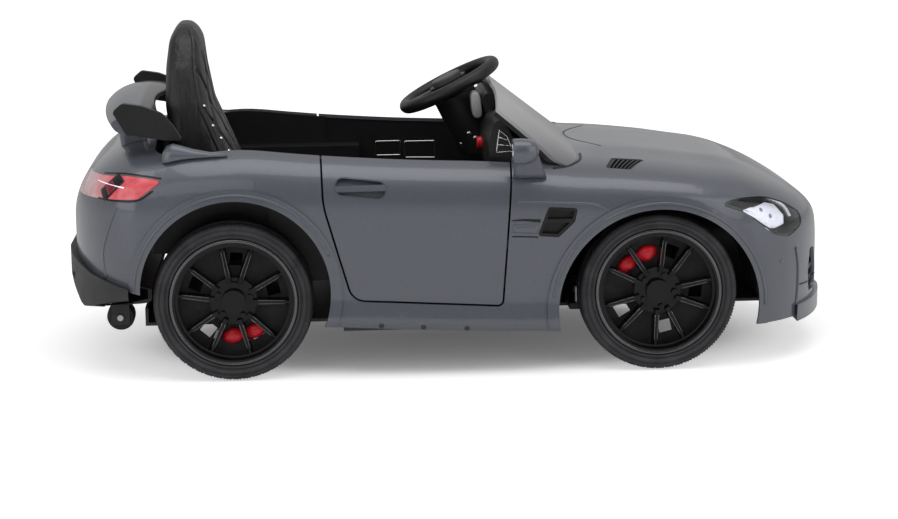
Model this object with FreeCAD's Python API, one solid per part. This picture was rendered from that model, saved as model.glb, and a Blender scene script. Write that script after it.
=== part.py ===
import FreeCAD, Part
import functools
import math
import os

V = FreeCAD.Vector

# Electric ride-on car, millimetres. +X is forward, +Y is the car's left, +Z is up.
# The origin is on the ground, midway along and across the car.

# Wheels and axles
TYRE_RADIUS = 105.0
TYRE_WIDTH = 58.0
TYRE_BORE_RADIUS = 84.0
TRACK_HALF = 222.0
REAR_AXLE_X = -293.0
FRONT_AXLE_X = 265.0
AXLE_RADIUS = 6.0
RUNNING_CLEARANCE = 0.06
PRESS_CLEARANCE = 0.02
SEAT_CLEARANCE = 0.3
SPOKE_PAIRS = 5
SPOKE_PAIR_HALF_ANGLE = 15.5
FRONT_SPOKE_PHASE = 139.0
REAR_SPOKE_PHASE = -58.5
CALIPER_LAG = -17.0
CALIPER_OUTER_RADIUS = 63.0
CALIPER_INNER_RADIUS = 40.0
CALIPER_HALF_ANGLE = 33.0
RIM_WALL = 7.0
RIM_STEP = 4.5
BRAKE_PLATE_SETBACK = 4.0
BRAKE_WINDOW_SIZE = 17.0
BRAKE_WINDOW_RADIUS = 53.0
RIM_HUB_RADIUS = 31.0
RIM_CAP_RADIUS = 15.5

# Body shell, as smooth curves of half width, top and bottom edge along the car
BODY_WALL = 4.0
TAIL_START_X = -400.0
TAIL_LENGTH = 112.0
NOSE_START_X = 370.0
NOSE_LENGTH = 146.0
TAIL_HALF_WIDTH = 252.0
NOSE_HALF_WIDTH = 250.0
TAIL_TOP = 306.0
TAIL_DROP = 101.0
NOSE_TOP = 260.0
NOSE_DROP = 88.0
TAIL_BOTTOM = 114.0
TAIL_BOTTOM_RISE = 38.0
NOSE_BOTTOM = 57.0
TAIL_WAIST = 186.0
NOSE_WAIST = 168.0
NOSE_WAIST_DROP = 55.0
HALF_WIDTH_CURVE = [(TAIL_START_X, TAIL_HALF_WIDTH), (-340, 259), (-290, 263), (-180, 261), (-60, 259),
                    (75, 259), (165, 262), (265, 263), (330, 258), (NOSE_START_X, NOSE_HALF_WIDTH)]
TOP_CURVE = [(TAIL_START_X, TAIL_TOP), (-360, 314), (-280, 319), (-200, 311), (-70, 301), (60, 294),
             (165, 282), (220, 278.5), (290, 271), (340, 264), (NOSE_START_X, NOSE_TOP)]
BOTTOM_CURVE = [(TAIL_START_X, TAIL_BOTTOM), (-330, 95), (-165, 71), (130, 58), (NOSE_START_X, NOSE_BOTTOM)]
WAIST_CURVE = [(TAIL_START_X, TAIL_WAIST), (-280, 190), (290, 188), (NOSE_START_X, NOSE_WAIST)]
SILL_CURVE = [(TAIL_START_X, 0), (-290, 0), (-170, 1), (130, 1), (265, 0), (NOSE_START_X, 0)]
SECTION_STATIONS = [TAIL_START_X, -360, -320, -280, -230, -180, -120, -60, 0, 60, 115, 165, 215, 265, 305,
                    340, NOSE_START_X]
END_ANGLES = [10, 20, 30, 40, 50, 60, 70, 80]
SHOULDER_POWER = 4.5
SHOULDER_ANGLES = [0, 3, 8, 15, 24, 34, 45, 56, 66, 75, 82, 87]
SILL_PROFILE = [(0.0, 6.0), (0.12, 1.5), (0.27, 4.5), (0.42, 5.0), (0.60, 3.0), (0.80, 1.0)]
BUMPER_TUCK = 8.0
SKIRT_STEP = 15.0
HOOD_RIDGE_Y = 128.0
HOOD_RIDGE_HEIGHT = 3.0

# Wheel arches, measured from the axle
REAR_ARCH_GAP = 19.0
REAR_ARCH_LIFT = 12.0
REAR_ARCH_SHIFT = 3.0
FRONT_ARCH_GAP = 29.0
FRONT_ARCH_LIFT = -21.0
FRONT_ARCH_SHIFT = 1.0
ARCH_LIP_WIDTH = 15.0
ARCH_LIP_PROUD = 2.5
ARCH_LIP_SEAT = 0.7
ARCH_DEPTH = 110.0
ARCH_LINER_GAP = 1.5
ARCH_LINER_WALL = 2.5
ARCH_LINER_CUT = 10.0
REAR_LINER_WALL_X = -246.0
REAR_LINER_WALL_Z = 120.0
REAR_LINER_INNER_Y = 184.0
FRONT_LINER_INNER_Y = 132.0

# Cockpit and doors
COCKPIT_REAR_X = -392.0
COCKPIT_FRONT_X = 108.0
COCKPIT_HALF_WIDTH = 222.0
COCKPIT_CORNER_RADIUS = 45.0
DOOR_GAP = 2.6
DOOR_OUTLINE = [(-178, 345), (-175, 232), (-139, 104), (60, 92), (79, 345)]
DOOR_CORNER_RADII = [0, 110, 24, 9, 0]
DOOR_PANEL_FACE = 224.0
DOOR_PANEL_INSET = 5.0
DOOR_JAMB_OVERLAP = 14.0
HINGE_X = 40.0
HINGE_Y = 247.0
HINGE_PIN_RADIUS = 2.5
HINGE_EYE_WALL = 1.2
HINGE_NECK_Y = 228.0
HINGE_ARM_WIDTH = 5.0
HINGE_EAR_HEIGHTS = [138.0, 216.0]
HINGE_EAR_THICKNESS = 5.0
HINGE_EAR_CLEARANCE = 1.0
HINGE_POST_X = 84.0
HANDLE_CENTRE_X = -125.0
HANDLE_CENTRE_Z = 253.0
HANDLE_LENGTH = 68.0
HANDLE_HEIGHT = 25.0
HANDLE_DEPTH = 9.0
HANDLE_WALL = 1.6
HANDLE_GRIP_HEIGHT = 8.0

# Chassis pan and cockpit tub
PAN_Z = 64.0
PAN_THICKNESS = 4.0
PAN_RIM_HEIGHT = 24.0
PAN_REAR_X = -412.0
PAN_MID_REAR_X = -150.0
PAN_FRONT_X = 440.0
PAN_REAR_HALF_WIDTH = 184.0
PAN_FRONT_HALF_WIDTH = 120.0
TUB_FLOOR_Z = 106.0
TUB_WALL = 4.0
TUB_FRONT_X = 122.0
TUB_REAR_X = -398.0
TUB_HALF_WIDTH = 220.0
SEAT_FLOOR_Z = 160.0
SEAT_FRONT_X = -120.0
SEAT_WELL_HALF_WIDTH = 180.0
ARCH_SHELF_Z = 246.0
TUB_TO_BODY = 0.4

# Steering
STEERING_TILT = 26.0
STEERING_CENTRE = V(7, 0, 357)
STEERING_RIM_RADIUS = 67.0
STEERING_GRIP_RADIUS = 9.0
STEERING_HUB_RADIUS = 27.0
SHAFT_RADIUS = 5.0
SHAFT_LENGTH = 292.0
COLUMN_RADIUS = 30.0
COLUMN_START = 15.5
COLUMN_END = 98.0
CRANK_ALONG = 280.0
CRANK_LENGTH = 45.0
CRANK_THICKNESS = 8.0
CRANK_PIN_RADIUS = 4.0
CRANK_PIN_LENGTH = 16.0
KING_PIN_Y = 165.0
KING_PIN_RADIUS = 5.0
KNUCKLE_RADIUS = 13.0
KNUCKLE_HALF_HEIGHT = 12.5
KNUCKLE_ARM = 100.0
FORK_THICKNESS = 10.0
TIE_ROD_Z = 70.0
TIE_ROD_THICKNESS = 8.0
TIE_ROD_WIDTH = 20.0
TIE_ROD_SLOT_PLAY = 1.4

# Seat
SEAT_BACK_SECTIONS = [(164.3, -372, -262, 100), (230.0, -376, -272, 106), (290.0, -380, -297, 111),
                      (345.0, -386, -322, 110), (395.0, -384, -331, 94), (430.0, -379, -333, 74),
                      (452.0, -366, -343, 46)]
SEAT_TUFT_ROWS = [(235.0, -281.0), (275.0, -300.0), (315.0, -319.0), (355.0, -335.0), (395.0, -341.0)]
SEAT_TUFT_PITCH = 42.0
SEAT_TUFT_RADIUS = 16.0
SEAT_CROWN = 10.0
CUSHION_LENGTH = 127.0
CUSHION_HALF_WIDTH = 110.0
CUSHION_HEIGHT = 30.0
CUSHION_CROWN = 8.0
CUSHION_SECTIONS = [(0.0, 0.93, 0.74), (0.1, 0.98, 0.92), (0.5, 0.96, 1.0), (0.9, 0.98, 0.92),
                    (1.0, 0.93, 0.62)]

# Windscreen, as base and top points from the middle outwards
SCREEN_SECTIONS = [(0, 166, 62, 366), (100, 166, 61.5, 364), (170, 165, 60, 358), (202, 160, 58, 350),
                   (230, 131, 55, 343)]
SCREEN_THICKNESS = 4.0
SCREEN_TOP_HALF_WIDTH = 205.0
SCREEN_BASE_HALF_WIDTH = 228.0
SCREEN_FRAME_WIDTH = 12.0
SCREEN_FRAME_THICKNESS = 5.0

# Rear wing, diffuser and transport rollers
WING_HALF_SPAN = 196.0
WING_SECTION = [(-463, 350), (-449, 362), (-427, 368), (-406, 362), (-398, 350), (-405, 339), (-430, 329),
                (-460, 327)]
WING_END_OUTLINE = [(-444, 353), (-431, 364), (-406, 360), (-380, 350), (-366, 334), (-354, 314), (-378, 315),
                    (-427, 323)]
WING_END_RADII = [5, 8, 20, 20, 20, 2, 12, 6]
WING_END_THICKNESS = 12.0
WING_BOW = 18.0
WING_BASE_Z = 328.0
WING_CROWN = 0.86
WING_END_CROWN = 0.50
WING_STATIONS = [-1.0, -0.6, 0.0, 0.6, 1.0]
WING_PEDESTAL_HALF_WIDTH = 120.0
DIFFUSER_OUTLINE = [(-402, 118), (-402, 98), (-470, 84), (-497, 93), (-525, 132), (-525, 156), (-500, 148),
                    (-479, 139)]
DIFFUSER_RADII = [0, 6, 10, 10, 0, 0, 0, 0]
DIFFUSER_WALL = 5.0
DIFFUSER_SIDE_SWEEP = [(126, 40), (126, 78), (262, 116), (262, 40)]
DIFFUSER_FIN_OUTLINE = [(-440, 92), (-470, 80), (-500, 88), (-512, 128)]
DIFFUSER_FINS = [-120.0, -40.0, 40.0, 120.0]
DIFFUSER_FIN_THICKNESS = 6.0
ROLLER_X = -446.0
ROLLER_Z = 73.0
ROLLER_RADIUS = 18.5
ROLLER_WIDTH = 26.0
ROLLER_Y = 150.0
ROLLER_AXLE_RADIUS = 4.0

# Rear drive
GEAR_BOX_OUTER_Y = 178.0
GEAR_BOX_WIDTH = 46.0
MOTOR_LENGTH = 60.0
MOTOR_RADIUS = 18.0

# Lamps, vents and grilles
HEADLAMP_OUTLINE = [(343, 221), (372, 228), (406, 227), (438, 215), (463, 198), (469, 181), (444, 169),
                    (420, 176), (380, 208)]
HEADLAMP_RADII = [3.2, 60, 60, 60, 16, 9, 16, 30, 30]
TAIL_LAMP_OUTLINE = [(-379, 268), (-425, 273), (-470, 269), (-520, 258), (-520, 234), (-470, 240),
                     (-412, 244)]
TAIL_LAMP_INNER_Y = 80.0
LAMP_WALL = 3.0
LENS_SINK = 0.3
LAMP_DEPTH = 22.0
HOOD_VENT_OUTLINE = [(211, 181), (256, 179), (231, 224), (198, 222)]
FENDER_VENT_OUTLINE = [(104, 186), (119, 224), (157, 222), (153, 204), (132, 184)]
VENT_SLATS = 7
VENT_SLAT_SHARE = 0.45
GRILLE_OUTLINE = [(-62, 164), (62, 164), (98, 120), (72, 94), (-72, 94), (-98, 120)]
INTAKE_OUTLINE = [(98, 110), (118, 138), (148, 142), (156, 112), (150, 82), (104, 80)]
GRILLE_BARS = 13
GRILLE_BAR_WIDTH = 6.0
GRILLE_FLANGE = 4.0
GRILLE_DEPTH = 6.0
INTAKE_BARS = 4
SPLITTER_TOP = 73.0
SPLITTER_HEIGHT = 23.0
SPLITTER_PROUD = 5.0
SPLITTER_REAR_X = 460.0

# Mirrors
MIRROR_CENTRE = V(86, -272, 299)
MIRROR_HALF_LENGTH = 21.0
MIRROR_HALF_HEIGHT = 17.0
MIRROR_RIM = 1.5
MIRROR_FACE_X = 70.0
MIRROR_GLASS_THICKNESS = 2.0
MIRROR_STALK_RADIUS = 9.0
MIRROR_FOOT = V(100, -244, 258)

# Dashboard and controls
DASH_OUTLINE = [(58, 240), (48, 262), (46, 302), (53, 328), (64, 333), (98, 272), (117.7, 268), (117.7, 240)]
DASH_RADII = [8, 20, 30, 9, 7, 12, 3, 3]
DASH_HALF_WIDTH = 202.0
DASH_HOOD_OUTLINE = [(54, 318), (47, 342), (54, 352), (68, 349), (80, 322)]
DASH_HOOD_HALF_WIDTH = 66.0
BUTTON_CENTRE = V(47, -62, 284)
BUTTON_RADIUS = 8.0
BUTTON_PROUD = 7.0
BUTTON_DEPTH = 11.0
BUTTON_TRAVEL = 3.0
SWITCH_CENTRE = V(50, 62, 284)
SWITCH_RADIUS = 11.0
SWITCH_WIDTH = 14.0
SWITCH_RIDGE = 13.0
SWITCH_PIN_RADIUS = 2.0
SWITCH_PIN_REACH = 4.0
CONTROL_CLEARANCE = 0.4
PEDAL_PIVOT = V(34, -92, 121)
PEDAL_SIZE = V(78, 48, 7)
PEDAL_SLOPE = 26.0
PEDAL_BOSS_RADIUS = 6.5
PEDAL_PIN_RADIUS = 3.0
PEDAL_EAR_THICKNESS = 5.0
PEDAL_EAR_GAP = 0.8

# Battery, control box and charging socket
BATTERY_SIZE = V(65, 150, 95)
BATTERY_REAR_X = 310.0
BATTERY_POST_RADIUS = 5.0
BATTERY_POST_HEIGHT = 7.0
CONTROL_BOX_SIZE = V(70, 110, 28)
CONTROL_BOX_REAR_X = -80.0
CONTROL_BOX_RIBS = 6
SOCKET_CENTRE = V(-165, 143, SEAT_FLOOR_Z + TUB_WALL)
SOCKET_RADIUS = 9.0
SOCKET_FLANGE_RADIUS = 13.0
SOCKET_DEPTH = 22.0
SOCKET_INLET_RADIUS = 5.5


def smooth(curve, x):
    """Value at x of the monotone cubic through the points of a curve."""
    steps = list(zip(curve[:-1], curve[1:]))
    slopes = [(b[1] - a[1]) / (b[0] - a[0]) for a, b in steps]
    tangents = [slopes[0]]
    for before, after in zip(slopes[:-1], slopes[1:]):
        tangents.append(0.0 if before * after <= 0 else 2 * before * after / (before + after))
    tangents.append(slopes[-1])
    index = max(k for k in range(len(steps)) if k == 0 or curve[k][0] <= x)
    (x0, y0), (x1, y1) = steps[index]
    h = x1 - x0
    t = (x - x0) / h
    return (y0 + (y1 - y0) * t * t * (3 - 2 * t)
            + h * t * (1 - t) * ((1 - t) * tangents[index] - t * tangents[index + 1]))


def station(kind, value, inset):
    """Position, half width, top, bottom, waist and sill share of one body section."""
    if kind == "middle":
        return (value, smooth(HALF_WIDTH_CURVE, value) - inset, smooth(TOP_CURVE, value) - inset,
                smooth(BOTTOM_CURVE, value), smooth(WAIST_CURVE, value), smooth(SILL_CURVE, value))
    turn = math.radians(value)
    share = value / END_ANGLES[-1]
    if kind == "nose":
        return (NOSE_START_X + (NOSE_LENGTH - inset) * math.sin(turn),
                (NOSE_HALF_WIDTH - inset) * math.cos(turn) ** 1.06,
                NOSE_TOP - inset - NOSE_DROP * share ** 1.23,
                NOSE_BOTTOM, NOSE_WAIST - NOSE_WAIST_DROP * share, 0.0)
    return (TAIL_START_X - (TAIL_LENGTH - inset) * math.sin(turn),
            (TAIL_HALF_WIDTH - inset) * math.cos(turn) ** 0.85,
            TAIL_TOP - inset - TAIL_DROP * share ** 1.8,
            TAIL_BOTTOM + TAIL_BOTTOM_RISE * share, TAIL_WAIST, 0.0)


def hood_ridge(x, y):
    """Height of the two hood creases at a point of the hood."""
    fade = max(0.0, min(1.0, (x - COCKPIT_FRONT_X) / 120.0))
    fade *= max(0.0, min(1.0, (NOSE_START_X + 90 - x) / 90.0))
    return HOOD_RIDGE_HEIGHT * fade / (1.0 + math.exp((abs(y) - HOOD_RIDGE_Y) / 7.0))


def section(kind, value, inset, drop):
    """Points of one body section from its right lower edge over the top to the left one."""
    x, half, top, bottom, waist, sill = station(kind, value, inset)
    narrow = half / NOSE_HALF_WIDTH
    side = []
    for share, tuck in SILL_PROFILE:
        width = half - narrow * (sill * tuck + (1 - sill) * BUMPER_TUCK * (1 - share) ** 2)
        side.append((width, bottom + share * (waist - bottom)))
    for step in range(round(drop / SKIRT_STEP)):
        side.insert(0, (side[0][0], side[0][1] - SKIRT_STEP))
    for angle in SHOULDER_ANGLES:
        turn = math.radians(angle)
        width = half * math.cos(turn) ** (2 / SHOULDER_POWER)
        height = waist + (top - waist) * math.sin(turn) ** (2 / SHOULDER_POWER)
        side.append((width, height + hood_ridge(x, width)))
    right = [V(x, -width, height) for width, height in side]
    left = [V(x, width, height) for width, height in reversed(side)]
    return right + [V(x, 0, top + hood_ridge(x, 0))] + left


@functools.lru_cache(maxsize=None)
def body_form(inset, drop=0.0):
    """Solid bounded by the body surface, drawn in by inset, with its floor lowered by drop."""
    keys = [("tail", angle) for angle in reversed(END_ANGLES)]
    keys += [("middle", x) for x in SECTION_STATIONS]
    keys += [("nose", angle) for angle in END_ANGLES]
    surface = Part.BSplineSurface()
    surface.interpolate([section(kind, value, inset, drop) for kind, value in keys])
    u0, u1, v0, v1 = surface.bounds()
    floor = Part.makeRuledSurface(surface.vIso(v0).toShape(), surface.vIso(v1).toShape())
    faces = [surface.toShape(), floor]
    for end in (surface.uIso(u0).toShape(), surface.uIso(u1).toShape()):
        closing = Part.makeLine(end.Vertexes[0].Point, end.Vertexes[-1].Point)
        faces.append(Part.Face(Part.Wire([end, closing])))
    shell = Part.makeShell(faces)
    shell.sewShape()
    solid = Part.makeSolid(shell)
    if solid.Volume < 0:
        solid.reverse()
    return solid


@functools.lru_cache(maxsize=None)
def body_layer(outer_inset, inner_inset):
    """Body surface layer between two insets, open underneath."""
    return body_form(outer_inset).cut(body_form(inner_inset, 30.0))


def layer_piece(prism, outer_inset, inner_inset):
    """Part of a prism that lies between two insets of the body surface."""
    return prism.common(body_form(outer_inset)).cut(body_form(inner_inset, 30.0))


def rounded_wire(corners, radii):
    """Closed wire through corners, with a tangent arc of its own radius at each."""
    count = len(corners)
    ends = []
    arcs = []
    for i in range(count):
        corner = corners[i]
        back = (corners[i - 1] - corner).normalize()
        ahead = (corners[(i + 1) % count] - corner).normalize()
        half = back.getAngle(ahead) / 2
        if radii[i] <= 0:
            ends.append((corner, corner))
            arcs.append(None)
            continue
        reach = radii[i] / math.tan(half)
        middle = (back + ahead).normalize() * (radii[i] / math.sin(half) - radii[i])
        ends.append((corner + back * reach, corner + ahead * reach))
        arcs.append(corner + middle)
    edges = []
    for i in range(count):
        if arcs[i] is not None:
            edges.append(Part.Arc(ends[i][0], arcs[i], ends[i][1]).toShape())
        edges.append(Part.makeLine(ends[i][1], ends[(i + 1) % count][0]))
    return Part.Wire(edges)


def even_wire(corners, radius):
    return rounded_wire(corners, [radius] * len(corners))


def side_wire(points, radii):
    """Outline drawn in the side view, as a wire in the plane y = 0."""
    return rounded_wire([V(x, 0, z) for x, z in points], radii)


def slab(wire, start, travel):
    """Solid swept from a flat wire moved to start, along travel."""
    face = Part.Face(wire)
    face.translate(start)
    return face.extrude(travel)


def right_prism(wire, inner_y=150.0, outer_y=310.0):
    """Sideways prism through the right-hand side of the body."""
    return slab(wire, V(0, -outer_y, 0), V(0, outer_y - inner_y, 0))


def front_prism(points, radius, start_x, length, grow=0.0):
    """Lengthways prism of an outline given as y and z, grown by a margin."""
    wire = even_wire([V(0, y, z) for y, z in points], radius)
    if grow:
        wire = wire.makeOffset2D(grow)
    return slab(wire, V(start_x, 0, 0), V(length, 0, 0))


def largest(shape):
    return max(shape.Solids, key=lambda solid: solid.Volume)


def mirrored(shape):
    return shape.mirror(V(0, 0, 0), V(0, 1, 0))


def pair(shape):
    return [shape, mirrored(shape)]


def box(x0, x1, y0, y1, z0, z1):
    return Part.makeBox(x1 - x0, y1 - y0, z1 - z0, V(x0, y0, z0))


def rod(start, end, radius):
    return Part.makeCylinder(radius, (end - start).Length, start, end - start)


def fuse_all(shapes):
    return shapes[0].multiFuse(shapes[1:]).removeSplitter()


def export(name, *shapes):
    """Write one node, as a single solid or as a group of separate solids."""
    solids = [solid for shape in shapes for solid in shape.Solids]
    shape = solids[0] if len(solids) == 1 else Part.makeCompound(solids)
    shape.exportStep("parts/" + name + ".step")


# Places that several pieces share
AXLE_Z = TYRE_RADIUS
PAN_TOP = PAN_Z + PAN_THICKNESS
STEERING_AXIS = V(-math.sin(math.radians(STEERING_TILT)), 0, math.cos(math.radians(STEERING_TILT)))
REAR_ARCH_RADIUS = TYRE_RADIUS + REAR_ARCH_GAP
FRONT_ARCH_RADIUS = TYRE_RADIUS + FRONT_ARCH_GAP
ARCHES = [(V(REAR_AXLE_X + REAR_ARCH_SHIFT, 0, AXLE_Z + REAR_ARCH_LIFT), REAR_ARCH_RADIUS),
          (V(FRONT_AXLE_X + FRONT_ARCH_SHIFT, 0, AXLE_Z + FRONT_ARCH_LIFT), FRONT_ARCH_RADIUS)]
DOOR_WIRE = side_wire(DOOR_OUTLINE, DOOR_CORNER_RADII)
GRILLE_SETBACK = BODY_WALL + SEAT_CLEARANCE
END_REACH = math.sin(math.radians(END_ANGLES[-1]))
NOSE_TIP_X = NOSE_START_X + (NOSE_LENGTH + SPLITTER_PROUD) * END_REACH
DIFFUSER_PROUD = (NOSE_TIP_X + TAIL_START_X) / END_REACH - TAIL_LENGTH
BODY_INSIDE = body_form(BODY_WALL + TUB_TO_BODY, 60.0)


def arch_cylinder(centre, radius, inner_y, outer_y):
    return Part.makeCylinder(radius, outer_y - inner_y, centre + V(0, -outer_y, 0), V(0, 1, 0))


def oval_wire(length, height):
    """Rounded handle outline about the handle's centre."""
    x0, x1 = HANDLE_CENTRE_X - length / 2, HANDLE_CENTRE_X + length / 2
    z0, z1 = HANDLE_CENTRE_Z - height / 2, HANDLE_CENTRE_Z + height / 2
    return side_wire([(x0, z0 + 4), (x1, z0 - 4), (x1, z1 - 4), (x0, z1 + 4)], [height * 0.45] * 4)


HEADLAMP_WIRE = side_wire(HEADLAMP_OUTLINE, HEADLAMP_RADII)
TAIL_LAMP_WIRE = side_wire(TAIL_LAMP_OUTLINE, [3, 20, 20, 3, 3, 20, 6])
FENDER_VENT_WIRE = side_wire(FENDER_VENT_OUTLINE, [4, 5, 4, 6, 5])
HOOD_VENT_WIRE = even_wire([V(x, -y, 0) for x, y in HOOD_VENT_OUTLINE], 4)


def hood_vent_prism(inset):
    return slab(HOOD_VENT_WIRE.makeOffset2D(-inset) if inset else HOOD_VENT_WIRE, V(0, 0, 230), V(0, 0, 100))


def cockpit_prism():
    """Upright prism of the cockpit opening."""
    rear, front, half = COCKPIT_REAR_X, COCKPIT_FRONT_X, COCKPIT_HALF_WIDTH
    plan = [V(rear, -half, 0), V(front, -half, 0), V(front, half, 0), V(rear, half, 0)]
    return slab(even_wire(plan, COCKPIT_CORNER_RADIUS), V(0, 0, 200), V(0, 0, 200))


def body_cutters():
    """Everything that is cut out of the body shell."""
    cutters = []
    for centre, radius in ARCHES:
        cutters += pair(arch_cylinder(centre, radius, ARCH_DEPTH, 310.0))
    cutters.append(cockpit_prism())
    cutters += pair(right_prism(DOOR_WIRE, 205.0))
    cutters += pair(right_prism(HEADLAMP_WIRE))
    cutters += pair(right_prism(TAIL_LAMP_WIRE, TAIL_LAMP_INNER_Y))
    cutters += pair(right_prism(FENDER_VENT_WIRE, 200.0))
    cutters += pair(hood_vent_prism(0.0))
    cutters.append(front_prism(GRILLE_OUTLINE, 8.0, 440.0, 120.0))
    cutters += pair(front_prism([(-y, z) for y, z in INTAKE_OUTLINE], 8.0, 400.0, 140.0))
    return cutters


def make_body_shell():
    return body_layer(0.0, BODY_WALL).cut(body_cutters())


def make_arch_lips():
    """Bands around the wheel arches, seated on the body surface."""
    lips = []
    for centre, radius in ARCHES:
        ring = arch_cylinder(centre, radius + ARCH_LIP_WIDTH, 200.0, 310.0)
        ring = ring.cut(arch_cylinder(centre, radius, 190.0, 320.0))
        lips += pair(largest(layer_piece(ring, -ARCH_LIP_PROUD, -ARCH_LIP_SEAT)))
    return lips


def make_arch_liners():
    """Dark half-round liners inside the wheel arches, seated against the body side."""
    liners = []
    for (centre, radius), inner_y in zip(ARCHES, (REAR_LINER_INNER_Y, FRONT_LINER_INNER_Y)):
        inner = radius + ARCH_LINER_GAP
        ring = arch_cylinder(centre, inner + ARCH_LINER_WALL, inner_y, 310.0)
        ring = ring.cut(arch_cylinder(centre, inner, inner_y - 10, 320.0))
        top = box(centre.x - 200, centre.x + 200, -320, 0, centre.z + ARCH_LINER_CUT, 300)
        liners.append(largest(ring.common(top).common(BODY_INSIDE)))
    centre, radius = ARCHES[0]
    wall_y = (REAR_LINER_INNER_Y, REAR_LINER_INNER_Y + ARCH_LINER_WALL)
    wall = arch_cylinder(centre, radius + ARCH_LINER_GAP + 1, *wall_y)
    wall = wall.common(box(REAR_LINER_WALL_X, 0, -320, 0, REAR_LINER_WALL_Z, 300)).common(BODY_INSIDE)
    liners[0] = fuse_all([liners[0], wall])
    return [side for liner in liners for side in pair(liner)]


def make_pan():
    """Floor pan with its stiffening rails."""
    rear_half, front_half, rail_y = PAN_REAR_HALF_WIDTH, PAN_FRONT_HALF_WIDTH, TUB_HALF_WIDTH - 20
    cross_x = SEAT_FRONT_X + 30
    rim_top = PAN_Z + PAN_RIM_HEIGHT
    parts = [box(PAN_REAR_X, PAN_MID_REAR_X + 1, -rear_half, rear_half, PAN_Z, PAN_TOP),
             box(TUB_FRONT_X - 1, PAN_FRONT_X, -front_half, front_half, PAN_Z, PAN_TOP),
             box(PAN_MID_REAR_X, TUB_FRONT_X, -300, 300, PAN_Z, PAN_TOP).common(BODY_INSIDE),
             box(cross_x, cross_x + PAN_THICKNESS, -rail_y, rail_y, PAN_Z, TUB_FLOOR_Z),
             box(PAN_REAR_X, PAN_REAR_X + PAN_THICKNESS, -rear_half, rear_half, PAN_Z, rim_top),
             box(PAN_FRONT_X - PAN_THICKNESS, PAN_FRONT_X, -front_half, front_half, PAN_Z, rim_top)]
    rail = box(PAN_MID_REAR_X, TUB_FRONT_X - 10, -rail_y - PAN_THICKNESS, -rail_y, PAN_Z, TUB_FLOOR_Z)
    return fuse_all(parts + pair(rail))


def make_tub():
    """Cockpit tub in flat walls: floor, seat well, shelves over the wheels and sides with the hinge ears."""
    wall, high = TUB_WALL, 340.0
    well, cabin = SEAT_WELL_HALF_WIDTH, TUB_HALF_WIDTH
    floor_top, seat_top, shelf_top = TUB_FLOOR_Z + wall, SEAT_FLOOR_Z + wall, ARCH_SHELF_Z + wall
    rear_in, front_in, riser_in = TUB_REAR_X + wall, TUB_FRONT_X - wall, SEAT_FRONT_X + wall
    well_in, cabin_in = well - wall, cabin - wall
    floor = box(SEAT_FRONT_X, TUB_FRONT_X, -cabin, cabin, TUB_FLOOR_Z, floor_top)
    seat_floor = box(TUB_REAR_X, SEAT_FRONT_X, -well, well, SEAT_FLOOR_Z, seat_top)
    bulkhead = box(front_in, TUB_FRONT_X, -cabin, cabin, floor_top, high)
    shaft_hole = along_shaft(0.0, SHAFT_RADIUS + 4, SHAFT_LENGTH)
    socket_hole = rod(SOCKET_CENTRE - V(0, 0, 10), SOCKET_CENTRE + V(0, 0, 10), SOCKET_RADIUS)
    middle = [fuse_all([floor.cut(shaft_hole), pedal_bearing()]), seat_floor.cut(socket_hole),
              bulkhead.cut(shaft_hole),
              box(SEAT_FRONT_X, riser_in, -well_in, well_in, floor_top, seat_top),
              box(TUB_REAR_X, rear_in, -well_in, well_in, seat_top, high)]
    jamb_x = DOOR_OUTLINE[0][0] + DOOR_JAMB_OVERLAP
    post = box(HINGE_POST_X - 4, front_in, -cabin, -cabin_in, floor_top, high)
    side = [box(TUB_REAR_X, SEAT_FRONT_X, -well, -well_in, seat_top, ARCH_SHELF_Z),
            box(TUB_REAR_X, SEAT_FRONT_X, -cabin, -well_in, ARCH_SHELF_Z, shelf_top),
            box(SEAT_FRONT_X, riser_in, -cabin_in, -well_in, floor_top, shelf_top),
            box(TUB_REAR_X, rear_in, -cabin, -well_in, shelf_top, high),
            box(rear_in, jamb_x, -cabin, -cabin_in, shelf_top, high)]
    side = [part.common(BODY_INSIDE) for part in side]
    side.append(fuse_all([post.common(BODY_INSIDE)] + [hinge_ear(height) for height in HINGE_EAR_HEIGHTS]))
    return [part.common(BODY_INSIDE) for part in middle] + side + [mirrored(part) for part in side]


def hinge_ear(height):
    """Swan-neck ear from the tub's front post to the door's hinge pin."""
    low = height - HINGE_EAR_THICKNESS / 2
    pin = V(HINGE_X, -HINGE_Y, low)
    neck = V(HINGE_X, -HINGE_NECK_Y, low)
    root = V(HINGE_POST_X + 8, -TUB_HALF_WIDTH + TUB_WALL / 2, low)
    parts = [Part.makeCylinder(HINGE_PIN_RADIUS + HINGE_EYE_WALL, HINGE_EAR_THICKNESS, pin),
             Part.makeCylinder(HINGE_ARM_WIDTH / 2, HINGE_EAR_THICKNESS, neck),
             bar(pin, neck), bar(neck, root)]
    inner_y = -TUB_HALF_WIDTH + TUB_WALL
    parts.append(box(HINGE_POST_X - 4, HINGE_POST_X + 20, -TUB_HALF_WIDTH, inner_y, low - 12, low + 17))
    bore = Part.makeCylinder(HINGE_PIN_RADIUS + PRESS_CLEARANCE, HINGE_EAR_THICKNESS, pin)
    return fuse_all(parts).cut(bore)


def bar(start, end):
    """Flat hinge bar between two points of one level."""
    reach = end - start
    across = V(-reach.y, reach.x, 0).normalize() * (HINGE_ARM_WIDTH / 2)
    corners = [start + across, start - across, end - across, end + across, start + across]
    return Part.Face(Part.makePolygon(corners)).extrude(V(0, 0, HINGE_EAR_THICKNESS))


def make_hinge_pins():
    low = HINGE_EAR_HEIGHTS[0] - 14
    high = HINGE_EAR_HEIGHTS[1] + 14
    return pair(Part.makeCylinder(HINGE_PIN_RADIUS, high - low, V(HINGE_X, -HINGE_Y, low)))


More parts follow.
